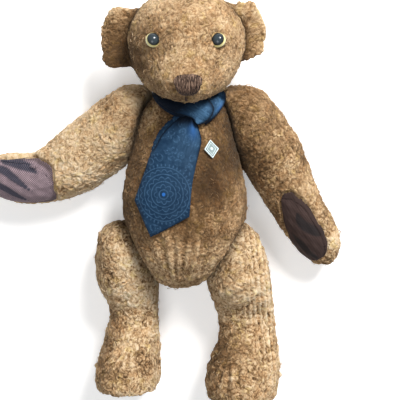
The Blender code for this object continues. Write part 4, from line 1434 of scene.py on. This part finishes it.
def silk_strip(
    name, left, right, lift, crown, sharp_last=False, ripples=0.0, sheen_at=None, dark=(0.0, 0.0, 0.0, 0.0),
    edge_dark=(0.75, 0.75), edge_reach=1.5, lit=(0.0, 0.5, 0.5), right_dark=0.0, held="folded",
):
    """A strip of silk between two edges, in millimetres from the corner of the tie's box.

    lift and crown are how high its edges and its middle stand. dark is how much painted shadow it has
    where it starts and where it ends, and between which shares of its length that changes; edge_dark is
    how much painted shadow its edges have before and after a quarter of its length, and right_dark how
    much its right side has. lit is where a painted highlight lies, and sheen_at is where a painted
    sheen of bright blue lies.
    """
    places, longest, widest = strip_places(left, right, sharp_last)
    rows, columns = places.shape[0] - 1, places.shape[1] - 1
    share = np.linspace(0, 1, columns + 1)[None, :]
    down = np.linspace(0, 1, rows + 1)[:, None]
    width = np.linalg.norm(places[:, -1] - places[:, 0], axis=1)[:, None]
    inward = np.minimum(share, 1 - share) * width
    height = laid_height(places) + (lift + crown * (1 - np.abs(2 * share - 1) ** 3)) * MM
    height -= EDGE_DROP * np.exp(-(inward / EDGE_DROP) ** 2)
    height += ripples * MM * np.cos(share * math.pi * 5.0 + 0.6) * np.exp(-(down / 0.22) ** 2)
    # Painted shadow: where the strip lies under the chin or the knot, along its edges, and on its right
    # side.
    dark_start, dark_end, dark_from, dark_to = dark
    change = smooth_step((down - dark_from) / max(dark_to - dark_from, 0.01))
    shade = dark_start + (dark_end - dark_start) * change
    rim_shade = edge_dark[0] + (edge_dark[1] - edge_dark[0]) * smooth_step((down - 0.25) / 0.15)
    shade = np.maximum(shade, rim_shade * np.exp(-(inward / (edge_reach * MM)) ** 2))
    shade = np.maximum(shade, right_dark * smooth_step((share - 0.35) / 0.4))
    # Painted highlight on the strip's crest.
    lit_most, lit_share, lit_down = lit
    light = lit_most * np.exp(-(share - lit_share) ** 2 * 9 - (down - lit_down) ** 2 * 14)
    # Painted sheen: a patch of brighter blue where the silk would shine.
    sheen_grid = 0 * shade
    if sheen_at:
        sheen_share, sheen_down, sheen_reach = sheen_at
        sheen_grid = np.exp(-((share - sheen_share) ** 2 * 4 + (down - sheen_down) ** 2 * 16) / sheen_reach ** 2)
    top, tip = ((places[row, 0] + places[row, -1]) / 2 for row in (0, -1))
    axis = (tip - top) / np.linalg.norm(tip - top)
    bm = bmesh.new()
    bmesh.ops.create_grid(bm, x_segments=columns, y_segments=rows, size=1.0)
    coordinates = bm.verts.layers.float_vector.new("flat")
    grids = {"painted_sheen": sheen_grid, "painted_shadow": shade, "painted_highlight": light}
    layers = [(bm.verts.layers.float.new(key), grid) for key, grid in grids.items()]
    for vertex in bm.verts:
        place = round((1 - vertex.co.y) / 2 * rows), round((vertex.co.x + 1) / 2 * columns)
        vertex.co = (*places[place], height[place])
        offset = places[place] - top
        across = offset[0] * axis[1] - offset[1] * axis[0]
        vertex[coordinates] = (across / MM, -(offset @ axis) / MM, 0.0)
        for layer, grid in layers:
            vertex[layer] = grid[place]
    bmesh.ops.remove_doubles(bm, verts=bm.verts, dist=0.02 * MM)
    area = sum(face.calc_area() for face in bm.faces)
    bmesh.ops.recalc_face_normals(bm, faces=bm.faces)
    if sum(face.normal.z * face.calc_area() for face in bm.faces) < 0:
        bmesh.ops.reverse_faces(bm, faces=bm.faces)
    under = bmesh.ops.extrude_face_region(bm, geom=bm.faces[:], use_keep_orig=True)
    under = [part for part in under["geom"] if isinstance(part, bmesh.types.BMVert)]
    bmesh.ops.translate(bm, verts=under, vec=(0.0, 0.0, -SILK_THICK))
    bmesh.ops.recalc_face_normals(bm, faces=bm.faces)
    strip = keep_mesh(name, new_mesh(name, bm), "torso", tie_silk)
    flat_size = (max(width.max(), area / longest, SMALLEST_CUT), max(longest, widest))
    area = min(area, flat_size[0] * flat_size[1])
    return strip


# %% The edges of the tie's five strips
# Each strip's two edges, from where it starts
BLADE = (
    (
        (42.5, 113.0), (34.0, 105.5), (26.0, 97.0), (19.5, 85.0), (14.0, 76.0), (9.9, 63.5), (4.3, 47.7),
        (-0.4, 35.2), (15.3, 1.2),
    ),
    (
        (58.0, 113.0), (60.0, 105.0), (62.8, 96.0), (63.4, 89.0), (61.0, 79.0), (58.1, 67.4), (54.6, 49.4),
        (52.2, 22.0), (15.3, 1.2),
    ),
)
TUCK = (
    ((44.5, 118.0), (36.5, 114.0), (28.5, 107.8), (20.0, 96.6), (14.8, 83.0), (12.0, 73.0)),
    ((50.0, 111.0), (42.0, 106.0), (33.0, 100.0), (26.0, 91.0), (20.0, 81.0), (15.0, 73.0)),
)
BAND = (
    (
        (15.0, 136.0), (17.5, 138.0), (22.0, 139.5), (28.0, 139.0), (38.0, 138.5), (48.0, 138.5),
        (58.0, 138.5), (68.0, 138.0),
    ),
    (
        (16.0, 132.5), (18.5, 128.5), (22.5, 124.0), (28.6, 119.0), (36.8, 114.6), (45.5, 111.8),
        (53.0, 110.5), (60.0, 110.5),
    ),
)
WRAP = (
    (
        (24.0, 132.0), (33.0, 134.5), (44.0, 135.5), (54.5, 135.0), (65.0, 132.5), (72.0, 127.8),
        (75.2, 121.5), (73.4, 114.5), (68.0, 108.5), (61.5, 105.5),
    ),
    (
        (22.0, 127.0), (30.0, 121.5), (38.0, 117.5), (45.5, 115.0), (50.0, 114.0), (53.0, 113.2),
        (54.4, 112.4), (55.2, 111.4), (55.7, 110.5), (56.0, 109.6),
    ),
)
LOOP = (
    (
        (58.0, 137.5), (68.0, 138.5), (78.0, 140.0), (85.5, 136.5), (86.5, 128.0), (82.0, 120.0),
        (75.5, 112.0), (67.5, 105.6),
    ),
    (
        (56.0, 130.0), (62.0, 128.0), (66.0, 126.0), (69.0, 123.5), (70.0, 120.5), (69.0, 117.0),
        (66.5, 113.0), (62.5, 109.5),
    ),
)

# %% Blade, knot and band
silk_strip("tie_tuck", *TUCK, -0.9, 0.6)
silk_strip(
    "tie_blade", *BLADE, 0.5, 0.9, sharp_last=True, ripples=1.4, sheen_at=(0.78, 0.09, 0.26),
    dark=(0.95, 0.0, 0.02, 0.11), edge_dark=(0.95, 0.3), lit=(0.3, 0.75, 0.12), right_dark=0.22,
    held="laid",
)
silk_strip("tie_band", *BAND, 0.4, 1.2, dark=(0.9, 0.85, 0.0, 1.0))
silk_strip(
    "tie_loop", *LOOP, 0.6, 1.6, dark=(0.95, 0.05, 0.08, 0.4), edge_dark=(1.0, 1.0), edge_reach=3.4,
    sheen_at=(0.2, 0.62, 0.34), lit=(0.9, 0.2, 0.45),
)
wrap = silk_strip(
    "tie_wrap", *WRAP, 3.2, 3.4, dark=(0.96, 0.0, 0.42, 0.72), edge_dark=(1.0, 1.0), edge_reach=2.4,
    lit=(0.8, 0.4, 0.82),
)
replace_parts(wrap, "necktie")

# %% [markdown]
# ## Lapel pin
# A small cast diamond with a raised rim. Inside the rim stand smaller stepped diamonds and one
# round boss. The recesses are painted darker: painted shade where the steps fall away, and darker
# grey-green metal further in.

# %% Pin metal
PIN_SHADER = {"Metallic": 0.25, "Roughness": 0.5}
PIN_PALE = (0.57, 0.68, 0.70, 1.0)
PIN_DARK = (0.08, 0.12, 0.12, 1.0)


def make_pin_metal():
    """Pale cast metal, darker in its recesses with painted shade and grey-green metal."""
    material, tree = new_finish("pin_metal", PIN_SHADER)
    grain = noise(object_place(tree), 0.5 * MM, 3.0, 0.6)
    share = clamped(attribute(tree, "recess") + grain * 0.5 - 0.25)
    return finished(material, mixed(share, PIN_PALE, PIN_DARK), grain, 0.3, 0.1 * MM)


# %% Where the pin lies
LEVEL = 0.05 * MM
pin_solid = solid("lapel_pin")
plate = max((face for face in pin_solid.polygons if face.normal.z > 0.5), key=lambda face: face.area)
pin_out = plate.normal.copy()
face_height = plate.center.dot(pin_out)
corners = [v.co for v in pin_solid.vertices if abs(v.co.dot(pin_out) - face_height) < LEVEL]
pin_middle = sum(corners, Vector()) / len(corners)
pin_up = (ALONG - pin_out * ALONG.dot(pin_out)).normalized()
pin_turn = Matrix((pin_up.cross(pin_out), pin_up, pin_out)).transposed().to_4x4()
print("pin's middle:", [round(value, 4) for value in pin_middle])

# %% Pin
PIN_HALF_WIDTH = 7.6 * MM
PIN_HALF_HEIGHT = 9.0 * MM
PIN_DEPTH = 1.5 * MM
PIN_BEVEL = 0.14 * MM
BOSS_RADIUS = 1.6 * MM
BOSS_SINK = 0.2 * MM
# Steps inward from the rim: how wide, how far up or down, and how dark it is painted, with painted shade
# and darker metal
PIN_STEPS = (
    (1.2, 0.0, 0.0), (0.25, -0.5, 1.0), (0.6, 0.0, 1.0), (0.25, 0.35, 0.5), (1.3, 0.0, 0.45),
    (0.2, -0.25, 0.9), (0.4, 0.0, 0.8),
)
bm = bmesh.new()
bmesh.ops.create_circle(bm, cap_ends=True, segments=4, radius=1.0)
bmesh.ops.scale(bm, verts=bm.verts, vec=(PIN_HALF_WIDTH, PIN_HALF_HEIGHT, 1.0))
recess = bm.verts.layers.float.new("recess")
face = bm.faces[:][0]
if face.normal.z < 0:
    bmesh.ops.reverse_faces(bm, faces=[face])
under = bmesh.ops.extrude_face_region(bm, geom=[face])
under = [part for part in under["geom"] if isinstance(part, bmesh.types.BMVert)]
bmesh.ops.translate(bm, verts=under, vec=(0, 0, -PIN_DEPTH))
bm.faces.ensure_lookup_table()
face = max(bm.faces, key=lambda face: face.calc_center_median().z)
for inset, rise, dark in PIN_STEPS:
    bmesh.ops.inset_region(bm, faces=[face], thickness=inset * MM, depth=0.0)
    bmesh.ops.translate(bm, verts=face.verts, vec=(0, 0, rise * MM))
    for vertex in face.verts:
        vertex[recess] = dark
boss = Matrix.Translation((0, 0, -BOSS_SINK)) @ Matrix.Diagonal((1.0, 1.1, 0.6, 1.0))
bmesh.ops.create_uvsphere(bm, u_segments=16, v_segments=8, radius=BOSS_RADIUS, matrix=boss)
bmesh.ops.recalc_face_normals(bm, faces=bm.faces)
bmesh.ops.bevel(
    bm, geom=[edge for edge in bm.edges if edge.calc_face_angle(0) > 0.6], offset=PIN_BEVEL,
    segments=2, profile=0.5, affect="EDGES", material=-1,
)
bmesh.ops.transform(bm, matrix=Matrix.Translation(pin_middle) @ pin_turn, verts=bm.verts)
pin_mesh = new_mesh("pin_plate", bm)
pin = keep_mesh("pin_plate", pin_mesh, "torso", make_pin_metal(), smooth=False)
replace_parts(pin, "lapel_pin")

# %% [markdown]
# ## Loose yarn
# Worn boucle sheds small loops and hairs. They break the smooth outline of each bag and catch the
# light. Each is one small bent tube, copied at many sizes over the cloth.

# %% One bent tube
LOOP_SIDES = 4
LOOP_BENDS = 6
LOOP_RADIUS = 0.14


def bent_tube():
    """One bent tube, from -1 to 1 along x and up to 1 high."""
    bm = bmesh.new()
    places = []
    for angle in (math.pi * bend / (LOOP_BENDS - 1) for bend in range(LOOP_BENDS)):
        places.append(Vector((-math.cos(angle), 0.25 * math.sin(2 * angle), math.sin(angle) - 0.15)))
    add_tube(bm, places, LOOP_RADIUS, LOOP_SIDES)
    return new_mesh("loop", bm)


one_loop = bent_tube()
print("one loop:", len(one_loop.polygons), "faces")

# %% Loops and hairs
LOOP_COUNTS = {
    "torso": 260, "head": 300, "arm_left": 200, "arm_right": 240, "leg_left": 280, "leg_right": 260,
}
LOOP_SEED = 71
LOOP_SHARE = 0.55
DIRT_AND_SHADE_LIMIT = 0.12
LOWEST_LOOP = 8 * MM
TORSO_LOOP_LIGHT_AND_TONE = 0.3
for order, (body, count) in enumerate(LOOP_COUNTS.items()):
    random = np.random.default_rng(LOOP_SEED + order)
    coat = COATS[body]
    points, normals = points_of(coat)
    dirt_and_shade = np.empty(len(points), np.float32)
    coat.attributes["dirt_and_shade"].data.foreach_get("value", dirt_and_shade)
    # Loops stand where the cloth has little dirt and painted shade, and above the floor.
    open_places = np.flatnonzero((dirt_and_shade < DIRT_AND_SHADE_LIMIT) & (points[:, 2] > LOWEST_LOOP))
    bm = bmesh.new()
    for anchor in random.choice(open_places, count, replace=False):
        normal = Vector(normals[anchor])
        side = Vector(unit(np.cross(normals[anchor], random.normal(size=3))))
        turn = Matrix((side, normal.cross(side), normal)).transposed().to_4x4()
        if random.random() < LOOP_SHARE:
            size = (random.uniform(1.4, 2.6), random.uniform(1.2, 2.2), random.uniform(0.7, 1.5))
        else:
            size = (random.uniform(2.5, 4.5), 0.8, random.uniform(0.8, 1.9))
        grow = Matrix.Diagonal((*(value * MM for value in size), 1.0))
        copy = one_loop.copy()
        copy.transform(Matrix.Translation(Vector(points[anchor])) @ turn @ grow)
        bm.from_mesh(copy)
        bpy.data.meshes.remove(copy)
    mesh = new_mesh(f"{body}_loops", bm)
    owner = np.repeat(np.arange(count), len(one_loop.vertices))
    tint = random.random(count)[owner]
    ones = np.ones(len(owner))
    light_and_tone = TORSO_LOOP_LIGHT_AND_TONE if body == "torso" else BAGS[body][2]
    store(mesh, "wool", "FLOAT_COLOR", "color", np.stack([tint, ones, ones * light_and_tone, ones], 1))
    store(mesh, "strand", "FLOAT_VECTOR", "vector", np.stack([ones, ones, owner * STRAND_STEP], 1))
    keep_mesh(f"{body}_loops", mesh, body, boucle)

# %% [markdown]
# ## Joint hardware
# The discs, washers, bolts and nuts show only where a limb is turned or lifted from the torso. They
# keep the solids' own shapes and get the materials that such parts have.

# %% Hardboard and steel
BOARD_COLOURS = ((0.3, (0.14, 0.075, 0.035)), (0.55, (0.30, 0.18, 0.095)), (0.8, (0.42, 0.29, 0.17)))
STEEL_COLOURS = ((0.3, (0.36, 0.36, 0.37)), (0.7, (0.62, 0.62, 0.62)))


def make_hardboard():
    """Pressed brown board with a fine, flecked grain."""
    material, tree = new_finish("hardboard", {"Roughness": 0.7})
    flecks = noise(object_place(tree), 0.9 * MM, 4.0, 0.7)
    return finished(material, ramp(flecks, BOARD_COLOURS), flecks, 0.3, 0.1 * MM)


def make_joint_steel():
    """Plated steel with fine scratches."""
    material, tree = new_finish("joint_steel", {"Metallic": 1.0, "Roughness": 0.35})
    scratches = noise(stretched(object_place(tree), (1.0, 0.1, 1.0)), 0.3 * MM, 3.0, 0.7)
    return finished(material, ramp(scratches, STEEL_COLOURS), scratches, 0.2, 0.05 * MM)


hardboard, joint_steel = make_hardboard(), make_joint_steel()
for name, node in frame["nodes"].items():
    if any(part in name for part in ("disc", "washer", "bolt", "nut")):
        node.material_slots[0].material = hardboard if "_disc" in name else joint_steel
